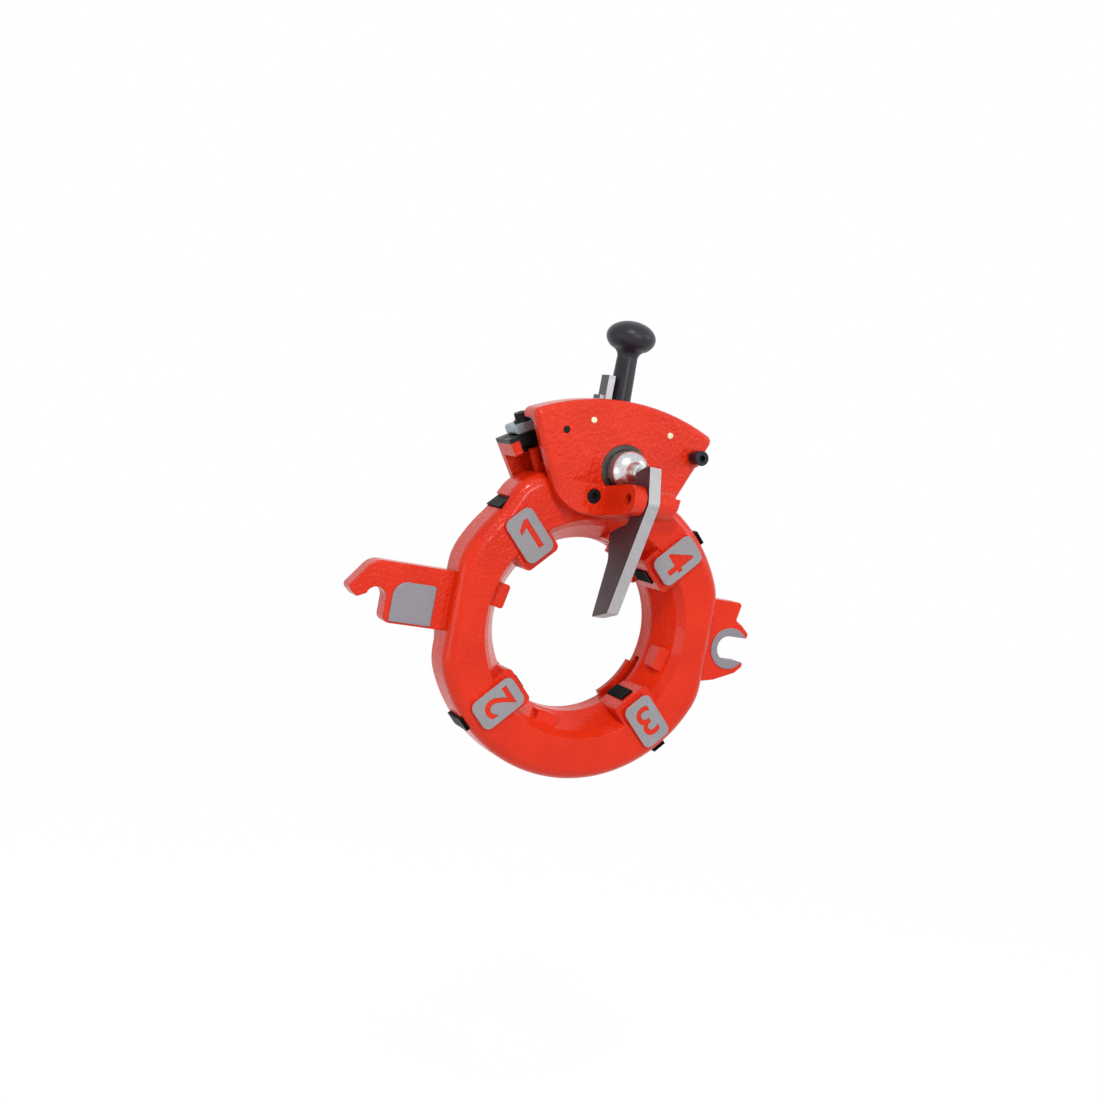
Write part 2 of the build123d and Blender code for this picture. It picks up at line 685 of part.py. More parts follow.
# Four dies: toothed at the inner end, grooved at the back for the cam's ridges
for number, angle in enumerate(DIE_ANGLES, start=1):
    x_axis = polar(1, angle)
    side = Plane(origin=(0, 0, 0), x_dir=(x_axis[0], 0, x_axis[1]), z_dir=(x_axis[1], 0, -x_axis[0]))
    with BuildPart() as die:
        tooth_start = (DIE_BACK - DIE_FRONT - TOOTH_COUNT * TOOTH_PITCH) / 2
        with BuildSketch(side):
            with BuildLine():
                points = [(DIE_OUTER_R, DIE_BACK), (DIE_OUTER_R, DIE_FRONT), (DIE_INNER_R, DIE_FRONT)]
                for tooth in range(TOOTH_COUNT):
                    depth = DIE_FRONT + tooth_start + tooth * TOOTH_PITCH
                    points.append((DIE_INNER_R, depth + TOOTH_PITCH * 0.12))
                    points.append((DIE_INNER_R + TOOTH_DEPTH, depth + TOOTH_PITCH * 0.5))
                    points.append((DIE_INNER_R, depth + TOOTH_PITCH * 0.88))
                points.append((DIE_INNER_R, DIE_BACK))
                depth_sign = 1 if side.y_dir.Y > 0 else -1
                Polyline(*[(r, depth_sign * depth) for r, depth in points], close=True)
            make_face()
        extrude(amount=DIE_THICKNESS / 2, both=True)
        with BuildSketch(front(DIE_BACK)):
            add(spiral_band(angle, RIDGE_WIDTH + 2 * RIDGE_GAP))
        extrude(amount=RIDGE_HEIGHT - CAM_FRONT + DIE_BACK + FACE_GAP, mode=Mode.SUBTRACT)
    die.part.label = f"die_{number}"
    export_step(die.part, f"parts/die_{number}.step")


# Fan plate of the front cover with its top flange
with BuildPart() as cover_plate:
    foot_left = (BAR_BOTTOM / tan(radians(COVER_LEFT)), BAR_BOTTOM)
    plate_low = BAR_TOP - COVER_EDGE_R
    with BuildSketch(front(RING_FRONT)):
        with BuildLine():
            top_left = polar(COVER_TOP_R, COVER_LEFT)
            top_right = polar(COVER_TOP_R, COVER_RIGHT)
            ThreePointArc(top_left, (0, COVER_TOP_R), top_right)
            Polyline(
                top_right,
                (plate_low / tan(radians(COVER_RIGHT)), plate_low),
                (0, plate_low),
                (0, BAR_BOTTOM),
            )
            FilletPolyline((0, BAR_BOTTOM), foot_left, top_left, radius=COVER_FOOT_R)
        make_face()
        fillet(vertices().sort_by(Axis.Y)[-2:], COVER_CORNER_R)
    extrude(amount=RING_FRONT - COVER_FRONT)
    plate_rim = edges().filter_by_position(Axis.Y, COVER_FRONT - 0.01, COVER_FRONT + 0.01)
    fillet(plate_rim.filter_by(lambda edge: edge.center().Z > plate_low + EPS), COVER_EDGE_R)
    with BuildSketch(front(COVER_BACK)):
        add(sector(COVER_TOP_R - COVER_RIM, COVER_TOP_R, COVER_RIGHT, COVER_LEFT))
        fillet(vertices().sort_by(Axis.Y)[-2:], COVER_CORNER_R)
    extrude(amount=COVER_BACK - RING_FRONT)


# Front cover: lower bar, the fan plate and the fork of the trigger lever
with BuildPart() as front_cover:
    with BuildSketch(front(RING_FRONT)):
        with BuildLine():
            bar_left = (BAR_TOP / tan(radians(COVER_LEFT)), BAR_TOP)
            bar_right = (BAR_TOP / tan(radians(COVER_RIGHT)), BAR_TOP)
            FilletPolyline(
                bar_left,
                foot_left,
                (FORK_RIGHT - BAR_STEP, BAR_BOTTOM),
                (FORK_RIGHT, BAR_STEP_Z),
                (BAR_END_X, BAR_END_Z),
                bar_right,
                radius=[COVER_FOOT_R, BAR_STEP_R, BAR_STEP_R, BAR_CORNER_R],
            )
            Line(bar_right, bar_left)
        make_face()
    extrude(amount=RING_FRONT - BAR_FACE)
    fillet(edges().filter_by_position(Axis.Y, BAR_FACE - 0.01, BAR_FACE + 0.01), BAR_EDGE_R)
    with BuildSketch(Plane.XY.offset(BAR_BOTTOM - EPS)):
        with BuildLine():
            slope = (COVER_FRONT - BAR_FACE) / (BAR_SLOPE_X - BAR_SLOPE_END)
            Polyline(
                (BAR_SLOPE_X, BAR_FACE),
                (BAR_SLOPE_X - (RING_FRONT - BAR_FACE) / slope, RING_FRONT),
                (BAR_SLOPE_X - (RING_FRONT - BAR_FACE) / slope, BAR_FACE - EPS),
                (BAR_SLOPE_X, BAR_FACE - EPS),
                close=True,
            )
        make_face()
    extrude(amount=BAR_TOP - BAR_BOTTOM + 2 * EPS, mode=Mode.SUBTRACT)
    add(cover_plate.part)

    # Fork arm that ends in the knuckle of the lever's pin
    with BuildSketch(Plane.YZ.offset(FORK_LEFT)):
        knuckle = (PIVOT_Y, PIVOT_Z)
        root_y = BAR_FACE + 2
        root_low = BAR_BOTTOM + 0.6
        low = tangent_point(root_y, root_low, knuckle, FORK_KNUCKLE_R, -1)
        high = tangent_point(root_y, BAR_TOP, knuckle, FORK_KNUCKLE_R, 1)
        with BuildLine():
            Line((root_y, root_low), low)
            ThreePointArc(low, (PIVOT_Y - FORK_KNUCKLE_R, PIVOT_Z), high)
            Line(high, (root_y, BAR_TOP))
            Line((root_y, BAR_TOP), (root_y, root_low))
        make_face()
    extrude(amount=FORK_RIGHT - FORK_LEFT)
    with BuildSketch(Plane.XY.offset(PIVOT_Z + 30)):
        slot_front = PIVOT_Y - FORK_KNUCKLE_R - EPS
        with Locations((0, (slot_front + FORK_SLOT_BOTTOM) / 2)):
            Rectangle(LEVER_THICKNESS + 2 * FORK_SIDE_GAP, FORK_SLOT_BOTTOM - slot_front)
    extrude(amount=-60, mode=Mode.SUBTRACT)
    with BuildSketch(Plane.YZ.offset(FORK_LEFT - EPS)):
        with Locations((PIVOT_Y, PIVOT_Z)):
            Circle(PIN_R + RUN_GAP)
    extrude(amount=FORK_RIGHT - FORK_LEFT + 2 * EPS, mode=Mode.SUBTRACT)

    # Bosses behind the plate
    with BuildSketch(front(COVER_BACK)):
        with Locations((COVER_FIX_X, COVER_FIX_Z), (DOWEL_X, DOWEL_Z)):
            Circle(COVER_BOSS_R)
    extrude(amount=COVER_BACK - COVER_FRONT - 1)
    with BuildSketch(front(BUSH_BACK)):
        with Locations((0, HUB_Z)):
            Circle(BUSH_WALL_R)
    extrude(amount=BUSH_BACK - COVER_FRONT - 1)

    # Holes for the bush, the screws, the dowel and the rivets
    with BuildSketch(front(BUSH_BACK + EPS)):
        with Locations((0, HUB_Z)):
            Circle(BUSH_R + RUN_GAP)
    extrude(amount=BUSH_BACK + EPS - PLUNGER_ROOM, mode=Mode.SUBTRACT)
    with BuildSketch(front(COVER_BACK + EPS)):
        with Locations((COVER_FIX_X, COVER_FIX_Z)):
            Circle(CAP_SCREW_R + RUN_GAP)
        with Locations((DOWEL_X, DOWEL_Z)):
            Circle(DOWEL_R + RUN_GAP)
    extrude(amount=COVER_BACK - COVER_FRONT + 2 * EPS, mode=Mode.SUBTRACT)
    with Locations(
        *[
            Plane(origin=(side * COVER_SCREW_X, BAR_FACE, COVER_SCREW_Z), z_dir=(0, -1, 0))
            for side in (-1, 1)
        ]
    ):
        CounterBoreHole(
            COVER_SCREW_R + RUN_GAP,
            COVER_SCREW_HEAD_R + 0.2,
            COVER_SCREW_HEAD + 0.5,
            RING_FRONT - BAR_FACE + EPS,
        )
    with BuildSketch(front(COVER_FRONT + RIVET_SHANK)):
        with Locations((-RIVET_X, RIVET_Z), (RIVET_X, RIVET_Z)):
            Circle(RIVET_SHANK_R + RUN_GAP)
    extrude(amount=RIVET_SHANK + EPS, mode=Mode.SUBTRACT)

front_cover.part.label = "front_cover"
export_step(front_cover.part, "parts/front_cover.step")


# Socket screws of the lower bar
with BuildPart() as cover_screws:
    head_face = BAR_FACE + 0.4
    for side in (-1, 1):
        seat = Plane(origin=(side * COVER_SCREW_X, head_face, COVER_SCREW_Z), z_dir=(0, -1, 0))
        with Locations(seat):
            Cylinder(COVER_SCREW_HEAD_R, COVER_SCREW_HEAD, align=HANGING)
            Cylinder(
                COVER_SCREW_R - RUN_GAP,
                COVER_SCREW_LENGTH - head_face - 1,
                align=HANGING,
            )
        with BuildSketch(seat):
            RegularPolygon(COVER_SCREW_R * 0.95, 6)
        extrude(amount=-COVER_SCREW_HEAD / 2, mode=Mode.SUBTRACT)

cover_screws.part.label = "cover_screws"
export_step(cover_screws.part, "parts/cover_screws.step")


# Tall socket cap screw at the upper right of the cover
with BuildPart() as cover_cap_screw:
    cap_face = COVER_FRONT - CAP_SCREW_STAND - CAP_SCREW_HEAD
    seat = Plane(origin=(COVER_FIX_X, cap_face, COVER_FIX_Z), z_dir=(0, -1, 0))
    with Locations(seat):
        Cylinder(CAP_SCREW_HEAD_R, CAP_SCREW_HEAD, align=HANGING)
        Cylinder(CAP_SHOULDER_R, COVER_FRONT - 0.05 - cap_face, align=HANGING)
        Cylinder(
            CAP_SCREW_R - RUN_GAP,
            EAR_BACK - cap_face - 0.4,
            align=HANGING,
        )
    fillet(edges().filter_by_position(Axis.Y, cap_face - 0.01, cap_face + 0.01), 0.6)
    with BuildSketch(seat):
        RegularPolygon(CAP_SCREW_R * 0.85, 6)
    extrude(amount=-CAP_SCREW_HEAD / 2, mode=Mode.SUBTRACT)

cover_cap_screw.part.label = "cover_cap_screw"
export_step(cover_cap_screw.part, "parts/cover_cap_screw.step")


# Dowel at the upper left of the cover
with BuildPart() as cover_dowel:
    with BuildSketch(front(EAR_BACK - 0.4)):
        with Locations((DOWEL_X, DOWEL_Z)):
            Circle(DOWEL_R - RUN_GAP)
    extrude(amount=EAR_BACK - COVER_FRONT - 0.1)
    chamfer(edges().filter_by(GeomType.CIRCLE), 0.4)

cover_dowel.part.label = "cover_dowel"
export_step(cover_dowel.part, "parts/cover_dowel.step")


# Two domed rivets on the cover's face
with BuildPart() as cover_rivets:
    for side in (-1, 1):
        with Locations(Plane(origin=(side * RIVET_X, COVER_FRONT, RIVET_Z), z_dir=(0, -1, 0))):
            Cylinder(RIVET_HEAD_R, 0.9, align=(Align.CENTER, Align.CENTER, Align.MIN))
            Cylinder(
                RIVET_SHANK_R,
                RIVET_SHANK - 0.3,
                align=HANGING,
            )
    rivet_top = COVER_FRONT - 0.9
    fillet(edges().filter_by_position(Axis.Y, rivet_top - 0.01, rivet_top + 0.01), 0.75)

cover_rivets.part.label = "cover_rivets"
export_step(cover_rivets.part, "parts/cover_rivets.step")


# Bush that guides the plunger and its stem
with BuildPart() as trigger_bush:
    with Locations(Plane(origin=(0, BUSH_FRONT, HUB_Z), z_dir=(0, 1, 0))):
        Cylinder(BUSH_R, BUSH_BACK - BUSH_FRONT, align=(Align.CENTER, Align.CENTER, Align.MIN))
        Cylinder(
            PLUNGER_R + RUN_GAP,
            BUSH_STEP - BUSH_FRONT,
            align=(Align.CENTER, Align.CENTER, Align.MIN),
            mode=Mode.SUBTRACT,
        )
        Cylinder(
            STEM_R + RUN_GAP,
            BUSH_BACK - BUSH_FRONT,
            align=(Align.CENTER, Align.CENTER, Align.MIN),
            mode=Mode.SUBTRACT,
        )
    chamfer(edges().filter_by_position(Axis.Y, BUSH_FRONT - 0.01, BUSH_FRONT + 0.01), 0.6)

trigger_bush.part.label = "trigger_bush"
export_step(trigger_bush.part, "parts/trigger_bush.step")


# Plunger: domed cup with a nose for the lever and a stem for the pawl
with BuildPart() as trigger_plunger:
    with BuildSketch(Plane(origin=(0, 0, HUB_Z), x_dir=(0, 0, 1), z_dir=(1, 0, 0))):
        dome = PLUNGER_RIM - PLUNGER_DOME
        with BuildLine():
            Polyline(
                (0, -STEM_END),
                (STEM_R, -STEM_END),
                (STEM_R, -CUP_FLOOR),
                (CUP_R, -CUP_FLOOR),
                (CUP_R, -PLUNGER_TAIL),
                (PLUNGER_R, -PLUNGER_TAIL),
                (PLUNGER_R, -PLUNGER_RIM),
            )
            ThreePointArc(
                (PLUNGER_R, -PLUNGER_RIM),
                (PLUNGER_R * 0.8, -PLUNGER_RIM + PLUNGER_DOME * 0.62),
                (NOSE_R + 1.4, -dome),
            )
            Polyline(
                (NOSE_R + 1.4, -dome),
                (NOSE_R, -dome + 4),
                (NOSE_R, -NOSE_END - 1.2),
                (NOSE_R - 1.2, -NOSE_END),
                (0, -NOSE_END),
                (0, -STEM_END),
            )
        make_face()
    revolve(axis=Axis((0, 0, HUB_Z), (0, 1, 0)))

trigger_plunger.part.label = "trigger_plunger"
export_step(trigger_plunger.part, "parts/trigger_plunger.step")


# Coil spring between the plunger's cup and the bush
with BuildPart() as trigger_spring:
    spring_start = CUP_FLOOR + SPRING_WIRE / 2 + 0.2
    spring_length = BUSH_STEP - SPRING_WIRE / 2 - 0.2 - spring_start
    with BuildLine():
        coil = Helix(
            pitch=spring_length / SPRING_TURNS,
            height=spring_length,
            radius=SPRING_R,
            center=(0, spring_start, HUB_Z),
            direction=(0, 1, 0),
        )
    with BuildSketch(Plane(coil @ 0, z_dir=coil % 0)):
        Circle(SPRING_WIRE / 2)
    sweep(path=coil, is_frenet=True)

trigger_spring.part.label = "trigger_spring"
export_step(trigger_spring.part, "parts/trigger_spring.step")


# Nut that keeps the plunger in its bush
with BuildPart() as plunger_nut:
    nut_front = BUSH_BACK + FACE_GAP
    with BuildSketch(front(nut_front + NUT_HEIGHT)):
        with Locations((0, HUB_Z)):
            RegularPolygon(NUT_WIDTH / 2, 6, major_radius=False)
            Circle(STEM_R + RUN_GAP, mode=Mode.SUBTRACT)
    extrude(amount=NUT_HEIGHT)

plunger_nut.part.label = "plunger_nut"
export_step(plunger_nut.part, "parts/plunger_nut.step")


# Rocker lever: its blade hangs in front of the throat, its head meets the plunger
with BuildPart() as trigger_lever:
    with BuildSketch(Plane.YZ.offset(-LEVER_THICKNESS / 2)):
        with BuildLine():
            FilletPolyline(
                (-50.1, 118),
                (-57.6, 94),
                (-28.3, 16.2),
                (-7, 10.3),
                (-15, 51),
                (-9.7, 69.7),
                (-32.5, 78),
                (-36, 86),
                (-36, 103),
                (-31.5, 108),
                (-31.5, 112.5),
                (-42.4, 116.8),
                (-46, 118),
                radius=[6, 1, 1, 8, 1.5, 3, 3, 3, 1.5, 1, 2],
            )
            Line((-46, 118), (-50.1, 118))
        make_face()
        with Locations((PIVOT_Y, PIVOT_Z)):
            Circle(PIN_R + RUN_GAP, mode=Mode.SUBTRACT)
    extrude(amount=LEVER_THICKNESS)

trigger_lever.part.label = "trigger_lever"
export_step(trigger_lever.part, "parts/trigger_lever.step")


# Pin of the rocker lever
with BuildPart() as lever_pin:
    with BuildSketch(Plane.YZ.offset(FORK_LEFT + PIN_RECESS)):
        with Locations((PIVOT_Y, PIVOT_Z)):
            Circle(PIN_R)
    extrude(amount=FORK_RIGHT - FORK_LEFT - 2 * PIN_RECESS)
    chamfer(edges().filter_by(GeomType.CIRCLE), 0.5)

lever_pin.part.label = "lever_pin"
export_step(lever_pin.part, "parts/lever_pin.step")


# Curved size bar with an arc slot for the arm and the clamp screw
with BuildPart() as size_bar:
    with BuildSketch(front(BAR_BACK)):
        add(sector(BAR_OUTER_R - BAR_END_HEIGHT, BAR_OUTER_R, NECK_RIGHT, NECK_LEFT))
        add(
            sector(
                BAR_INNER_R,
                BAR_OUTER_R - BAR_END_HEIGHT + EPS,
                END_WALL_RIGHT + BAR_END_GAP,
                END_WALL_LEFT - BAR_END_GAP,
            )
        )
    extrude(amount=BAR_BACK - BAR_FRONT)
    with BuildSketch(front(BAR_FRONT)):
        add(sector(BAR_OUTER_R - BAR_END_HEIGHT, BAR_OUTER_R, END_WALL_LEFT, NECK_LEFT))
    extrude(amount=BAR_FRONT - END_WALL_FRONT)
    with BuildSketch(front(SLOT_BACK)):
        add(sector(BAR_INNER_R - EPS, BAR_OUTER_R + EPS, SLOT_RIGHT, SLOT_LEFT))
    extrude(amount=SLOT_BACK - SLOT_FRONT, mode=Mode.SUBTRACT)
    for angle in BAR_SCREW_ANGLES:
        with Locations(radial_plane(angle, BAR_OUTER_R - SINK_DEPTH, (BAR_FRONT + BAR_BACK) / 2)):
            CounterSinkHole(
                BAR_SCREW_R + RUN_GAP,
                BAR_SCREW_HEAD_R,
                BAR_OUTER_R - BAR_INNER_R + EPS,
                counter_sink_angle=SINK_ANGLE,
            )

size_bar.part.label = "size_bar"
export_step(size_bar.part, "parts/size_bar.step")


# Screws of the size bar
with BuildPart() as size_bar_screws:
    screw_r = BAR_SCREW_R - RUN_GAP
    screw_head_r = BAR_SCREW_HEAD_R - 2 * SINK_DEPTH
    for angle in BAR_SCREW_ANGLES:
        seat = radial_plane(angle, BAR_OUTER_R - 2 * SINK_DEPTH, (BAR_FRONT + BAR_BACK) / 2)
        with Locations(seat):
            Cylinder(screw_r, BAR_SCREW_LENGTH - EPS, align=HANGING)
            Cone(screw_r, screw_head_r, screw_head_r - screw_r, align=HANGING)
        with BuildSketch(seat):
            RegularPolygon(BAR_SCREW_R * SOCKET_SHARE, 6)
        extrude(amount=-BAR_SCREW_R * SOCKET_SHARE, mode=Mode.SUBTRACT)

size_bar_screws.part.label = "size_bar_screws"
export_step(size_bar_screws.part, "parts/size_bar_screws.step")


# Stop block that straddles the slot
with BuildPart() as stop_block:
    with BuildSketch(front(BLOCK_BACK)):
        add(
            sector(
                BAR_OUTER_R + FACE_GAP,
                BAR_OUTER_R + FACE_GAP + BLOCK_HEIGHT,
                BLOCK_ANGLE - BLOCK_HALF_ANGLE,
                BLOCK_ANGLE + BLOCK_HALF_ANGLE,
            )
        )
    extrude(amount=BLOCK_BACK - BLOCK_FRONT)
    block_mid = radial_plane(BLOCK_ANGLE, BAR_OUTER_R + 30, (SLOT_FRONT + SLOT_BACK) / 2)
    chamfer(edges().filter_by(Axis.Y), 1.2)
    with BuildSketch(block_mid):
        Circle(CLAMP_R + RUN_GAP)
    extrude(amount=-60, mode=Mode.SUBTRACT)

stop_block.part.label = "stop_block"
export_step(stop_block.part, "parts/stop_block.step")


# Clamp screw with a knurled head and a hexagon socket
with BuildPart() as stop_clamp_screw:
    block_top = BAR_OUTER_R + FACE_GAP + BLOCK_HEIGHT
    nut_bottom = BAR_INNER_R - FACE_GAP - CLAMP_NUT_HEIGHT
    seat = radial_plane(BLOCK_ANGLE, block_top, (SLOT_FRONT + SLOT_BACK) / 2)
    with BuildSketch(seat):
        Circle(CLAMP_HEAD_R)
        with PolarLocations(CLAMP_HEAD_R, KNURL_COUNT):
            Rectangle(2 * KNURL_DEPTH, CLAMP_HEAD_R * 0.14, mode=Mode.SUBTRACT)
    extrude(amount=CLAMP_HEAD_HEIGHT)
    with BuildSketch(seat):
        Circle(COLLAR_R)
    extrude(amount=COLLAR_HEIGHT)
    with BuildSketch(seat):
        Circle(CLAMP_R)
    extrude(amount=-(block_top - nut_bottom + 1))
    with BuildSketch(seat.offset(CLAMP_HEAD_HEIGHT)):
        RegularPolygon(CLAMP_SOCKET_R, 6)
    extrude(amount=-CLAMP_HEAD_HEIGHT * 0.55, mode=Mode.SUBTRACT)

stop_clamp_screw.part.label = "stop_clamp_screw"
export_step(stop_clamp_screw.part, "parts/stop_clamp_screw.step")


# Square nut under the size bar
with BuildPart() as stop_nut:
    with BuildSketch(radial_plane(BLOCK_ANGLE, nut_bottom, (SLOT_FRONT + SLOT_BACK) / 2)):
        Rectangle(CLAMP_NUT_WIDTH, CLAMP_NUT_WIDTH + 2)
        Circle(CLAMP_R + RUN_GAP, mode=Mode.SUBTRACT)
    extrude(amount=CLAMP_NUT_HEIGHT)

stop_nut.part.label = "stop_nut"
export_step(stop_nut.part, "parts/stop_nut.step")


# Throwout arm: plate on the cam's lug, bar through the slot, shank of the grip
with BuildPart() as throwout_arm:
    with BuildSketch(front(CAM_FRONT)):
        with Locations((0, (ARM_PLATE_BOTTOM + ARM_PLATE_TOP) / 2)):
            RectangleRounded(2 * ARM_PLATE_HALF, ARM_PLATE_TOP - ARM_PLATE_BOTTOM, 2)
    extrude(amount=CAM_FRONT - ARM_PLATE_FRONT)
    with BuildSketch(front(CAM_FRONT)):
        with Locations((0, (ARM_BAR_BOTTOM + ARM_BAR_TOP) / 2)):
            Rectangle(2 * ARM_BAR_HALF, ARM_BAR_TOP - ARM_BAR_BOTTOM)
    extrude(amount=CAM_FRONT - ARM_BAR_FRONT)
    with BuildSketch(Plane.XY.offset(ARM_BAR_TOP - 4)):
        with Locations((GRIP_X, GRIP_Y)):
            Circle(SHANK_R)
    extrude(amount=SHANK_TOP - ARM_BAR_TOP + 4)
    with BuildSketch(front(CAM_FRONT)):
        with Locations((-ARM_BOLT_X, ARM_BOLT_Z), (ARM_BOLT_X, ARM_BOLT_Z)):
            Circle(ARM_BOLT_R)
    extrude(amount=CAM_FRONT - ARM_BAR_FRONT + EPS, mode=Mode.SUBTRACT)
    with BuildSketch(front(PAWL_SPRING_SEAT)):
        with Locations((0, PAWL_SPRING_Z)):
            Circle(PAWL_SPRING_R + PAWL_SPRING_WIRE)
    extrude(amount=PAWL_SPRING_SEAT - ARM_BAR_FRONT + EPS, mode=Mode.SUBTRACT)
    with BuildSketch(Plane.YZ.offset(-ARM_BAR_HALF - EPS)):
        with Locations((PAWL_PIVOT_Y, PAWL_PIVOT_Z)):
            Circle(PAWL_PIN_R + RUN_GAP)
    extrude(amount=ARM_BAR_HALF + EPS + PAWL_PIN_END + FACE_GAP, mode=Mode.SUBTRACT)

throwout_arm.part.label = "throwout_arm"
export_step(throwout_arm.part, "parts/throwout_arm.step")


# Cap screws that fasten the arm to the cam plate
with BuildPart() as arm_bolts:
    for side in (-1, 1):
        head_back = CAM_BACK + ARM_BOLT_HEAD
        seat = Plane(origin=(side * ARM_BOLT_X, head_back, ARM_BOLT_Z), z_dir=(0, 1, 0))
        with Locations(seat):
            Cylinder(ARM_BOLT_HEAD_R, ARM_BOLT_HEAD, align=HANGING)
            Cylinder(
                ARM_BOLT_R - RUN_GAP,
                head_back - ARM_PLATE_FRONT - 0.3,
                align=HANGING,
            )
        with BuildSketch(seat):
            RegularPolygon(ARM_BOLT_R * 0.95, 6)
        extrude(amount=-ARM_BOLT_HEAD / 2, mode=Mode.SUBTRACT)

arm_bolts.part.label = "arm_bolts"
export_step(arm_bolts.part, "parts/arm_bolts.step")


# Moulded grip with an oval knob
with BuildPart() as hand_grip:
    with BuildSketch(Plane(origin=(GRIP_X, GRIP_Y, 0), x_dir=(1, 0, 0), z_dir=(0, -1, 0))):
        with BuildLine():
            knob = []
            for turn in (-48, -24, 0, 24, 48, 70, 90):
                knob.append((KNOB_R * cos(radians(turn)), KNOB_Z + KNOB_HALF_HEIGHT * sin(radians(turn))))
            knob_foot = knob[0]
            neck_z = knob_foot[1] - 7
            Line((SHANK_R + RUN_GAP, GRIP_BOTTOM), (GRIP_R, GRIP_BOTTOM))
            Line((GRIP_R, GRIP_BOTTOM), (GRIP_NECK_R, neck_z))
            ThreePointArc((GRIP_NECK_R, neck_z), (GRIP_NECK_R + 1.1, neck_z + 4.6), knob_foot)
            Spline(*knob)
            Polyline(
                (0, KNOB_Z + KNOB_HALF_HEIGHT),
                (0, SHANK_TOP + RUN_GAP),
                (SHANK_R + RUN_GAP, SHANK_TOP + RUN_GAP),
                (SHANK_R + RUN_GAP, GRIP_BOTTOM),
            )
        make_face()
    revolve(axis=Axis((GRIP_X, GRIP_Y, 0), (0, 0, 1)))

hand_grip.part.label = "hand_grip"
export_step(hand_grip.part, "parts/hand_grip.step")


# Release pawl: foot behind the plunger's stem, plate through the slot, thumb tab
with BuildPart() as release_pawl:
    with BuildSketch(Plane.YZ.offset(PAWL_LEFT)):
        with BuildLine():
            pawl_front = SLOT_FRONT + PAWL_SLOT_GAP
            tab_front = EAR_BACK + FACE_GAP
            Polyline(
                (PAWL_FOOT_FRONT, PAWL_FOOT_BOTTOM),
                (PAWL_FOOT_BACK, PAWL_FOOT_BOTTOM),
                (PAWL_FOOT_BACK, PAWL_FOOT_TOP),
                (22.6, 125),
                (27.5, 130),
                (27.5, 143),
                (32, 147),
                (32, 154),
                (PAWL_TAB_BACK, 157),
                (PAWL_TAB_BACK, PAWL_TOP),
                (tab_front, PAWL_TOP),
                (tab_front, 147),
                (pawl_front, 145.2),
                (pawl_front, 127.8),
                (PAWL_FOOT_FRONT, 122),
                close=True,
            )
        make_face()
        with Locations((PAWL_PIVOT_Y, PAWL_PIVOT_Z)):
            Circle(PAWL_PIN_R + RUN_GAP, mode=Mode.SUBTRACT)
    extrude(amount=PAWL_RIGHT - PAWL_LEFT)
    with BuildSketch(front(PAWL_FOOT_BACK)):
        with Locations(((PAWL_LEFT + PAWL_FOOT_RIGHT) / 2, (PAWL_FOOT_BOTTOM + PAWL_FOOT_TOP) / 2)):
            Rectangle(PAWL_FOOT_RIGHT - PAWL_LEFT, PAWL_FOOT_TOP - PAWL_FOOT_BOTTOM)
    extrude(amount=PAWL_FOOT_BACK - PAWL_FOOT_FRONT)
    with BuildSketch(front(PAWL_TAB_BACK)):
        with Locations((PAWL_LEFT - PAWL_STEP / 2 + EPS, (PAWL_STEP_BOTTOM + PAWL_STEP_TOP) / 2)):
            Rectangle(PAWL_STEP + 2 * EPS, PAWL_STEP_TOP - PAWL_STEP_BOTTOM)
    extrude(amount=PAWL_TAB_BACK - PAWL_STEP_FRONT)

release_pawl.part.label = "release_pawl"
export_step(release_pawl.part, "parts/release_pawl.step")


# Pivot pin of the pawl
with BuildPart() as pawl_pin:
    head_face = PAWL_LEFT - FACE_GAP
    with BuildSketch(Plane.YZ.offset(head_face)):
        with Locations((PAWL_PIVOT_Y, PAWL_PIVOT_Z)):
            Circle(PAWL_PIN_R)
    extrude(amount=PAWL_PIN_END - head_face)
    with BuildSketch(Plane.YZ.offset(head_face)):
        with Locations((PAWL_PIVOT_Y, PAWL_PIVOT_Z)):
            Circle(PAWL_PIN_HEAD_R)
    extrude(amount=-PAWL_PIN_HEAD)

pawl_pin.part.label = "pawl_pin"
export_step(pawl_pin.part, "parts/pawl_pin.step")


# Small coil spring that returns the pawl
with BuildPart() as pawl_spring:
    pawl_spring_start = PAWL_FOOT_BACK + PAWL_SPRING_WIRE / 2 + 0.2
    pawl_spring_length = PAWL_SPRING_SEAT - PAWL_SPRING_WIRE / 2 - 0.2 - pawl_spring_start
    with BuildLine():
        coil = Helix(
            pitch=pawl_spring_length / PAWL_SPRING_TURNS,
            height=pawl_spring_length,
            radius=PAWL_SPRING_R,
            center=(0, pawl_spring_start, PAWL_SPRING_Z),
            direction=(0, 1, 0),
        )
    with BuildSketch(Plane(coil @ 0, z_dir=coil % 0)):
        Circle(PAWL_SPRING_WIRE / 2)
    sweep(path=coil, is_frenet=True)

pawl_spring.part.label = "pawl_spring"
export_step(pawl_spring.part, "parts/pawl_spring.step")
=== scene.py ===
"""Looks of the pipe threading die head: finishes, number plates, studio and camera."""

import logging
import math
from dataclasses import dataclass, field
from enum import Enum

import bmesh
import bpy
from mathutils import Euler, Matrix, Vector


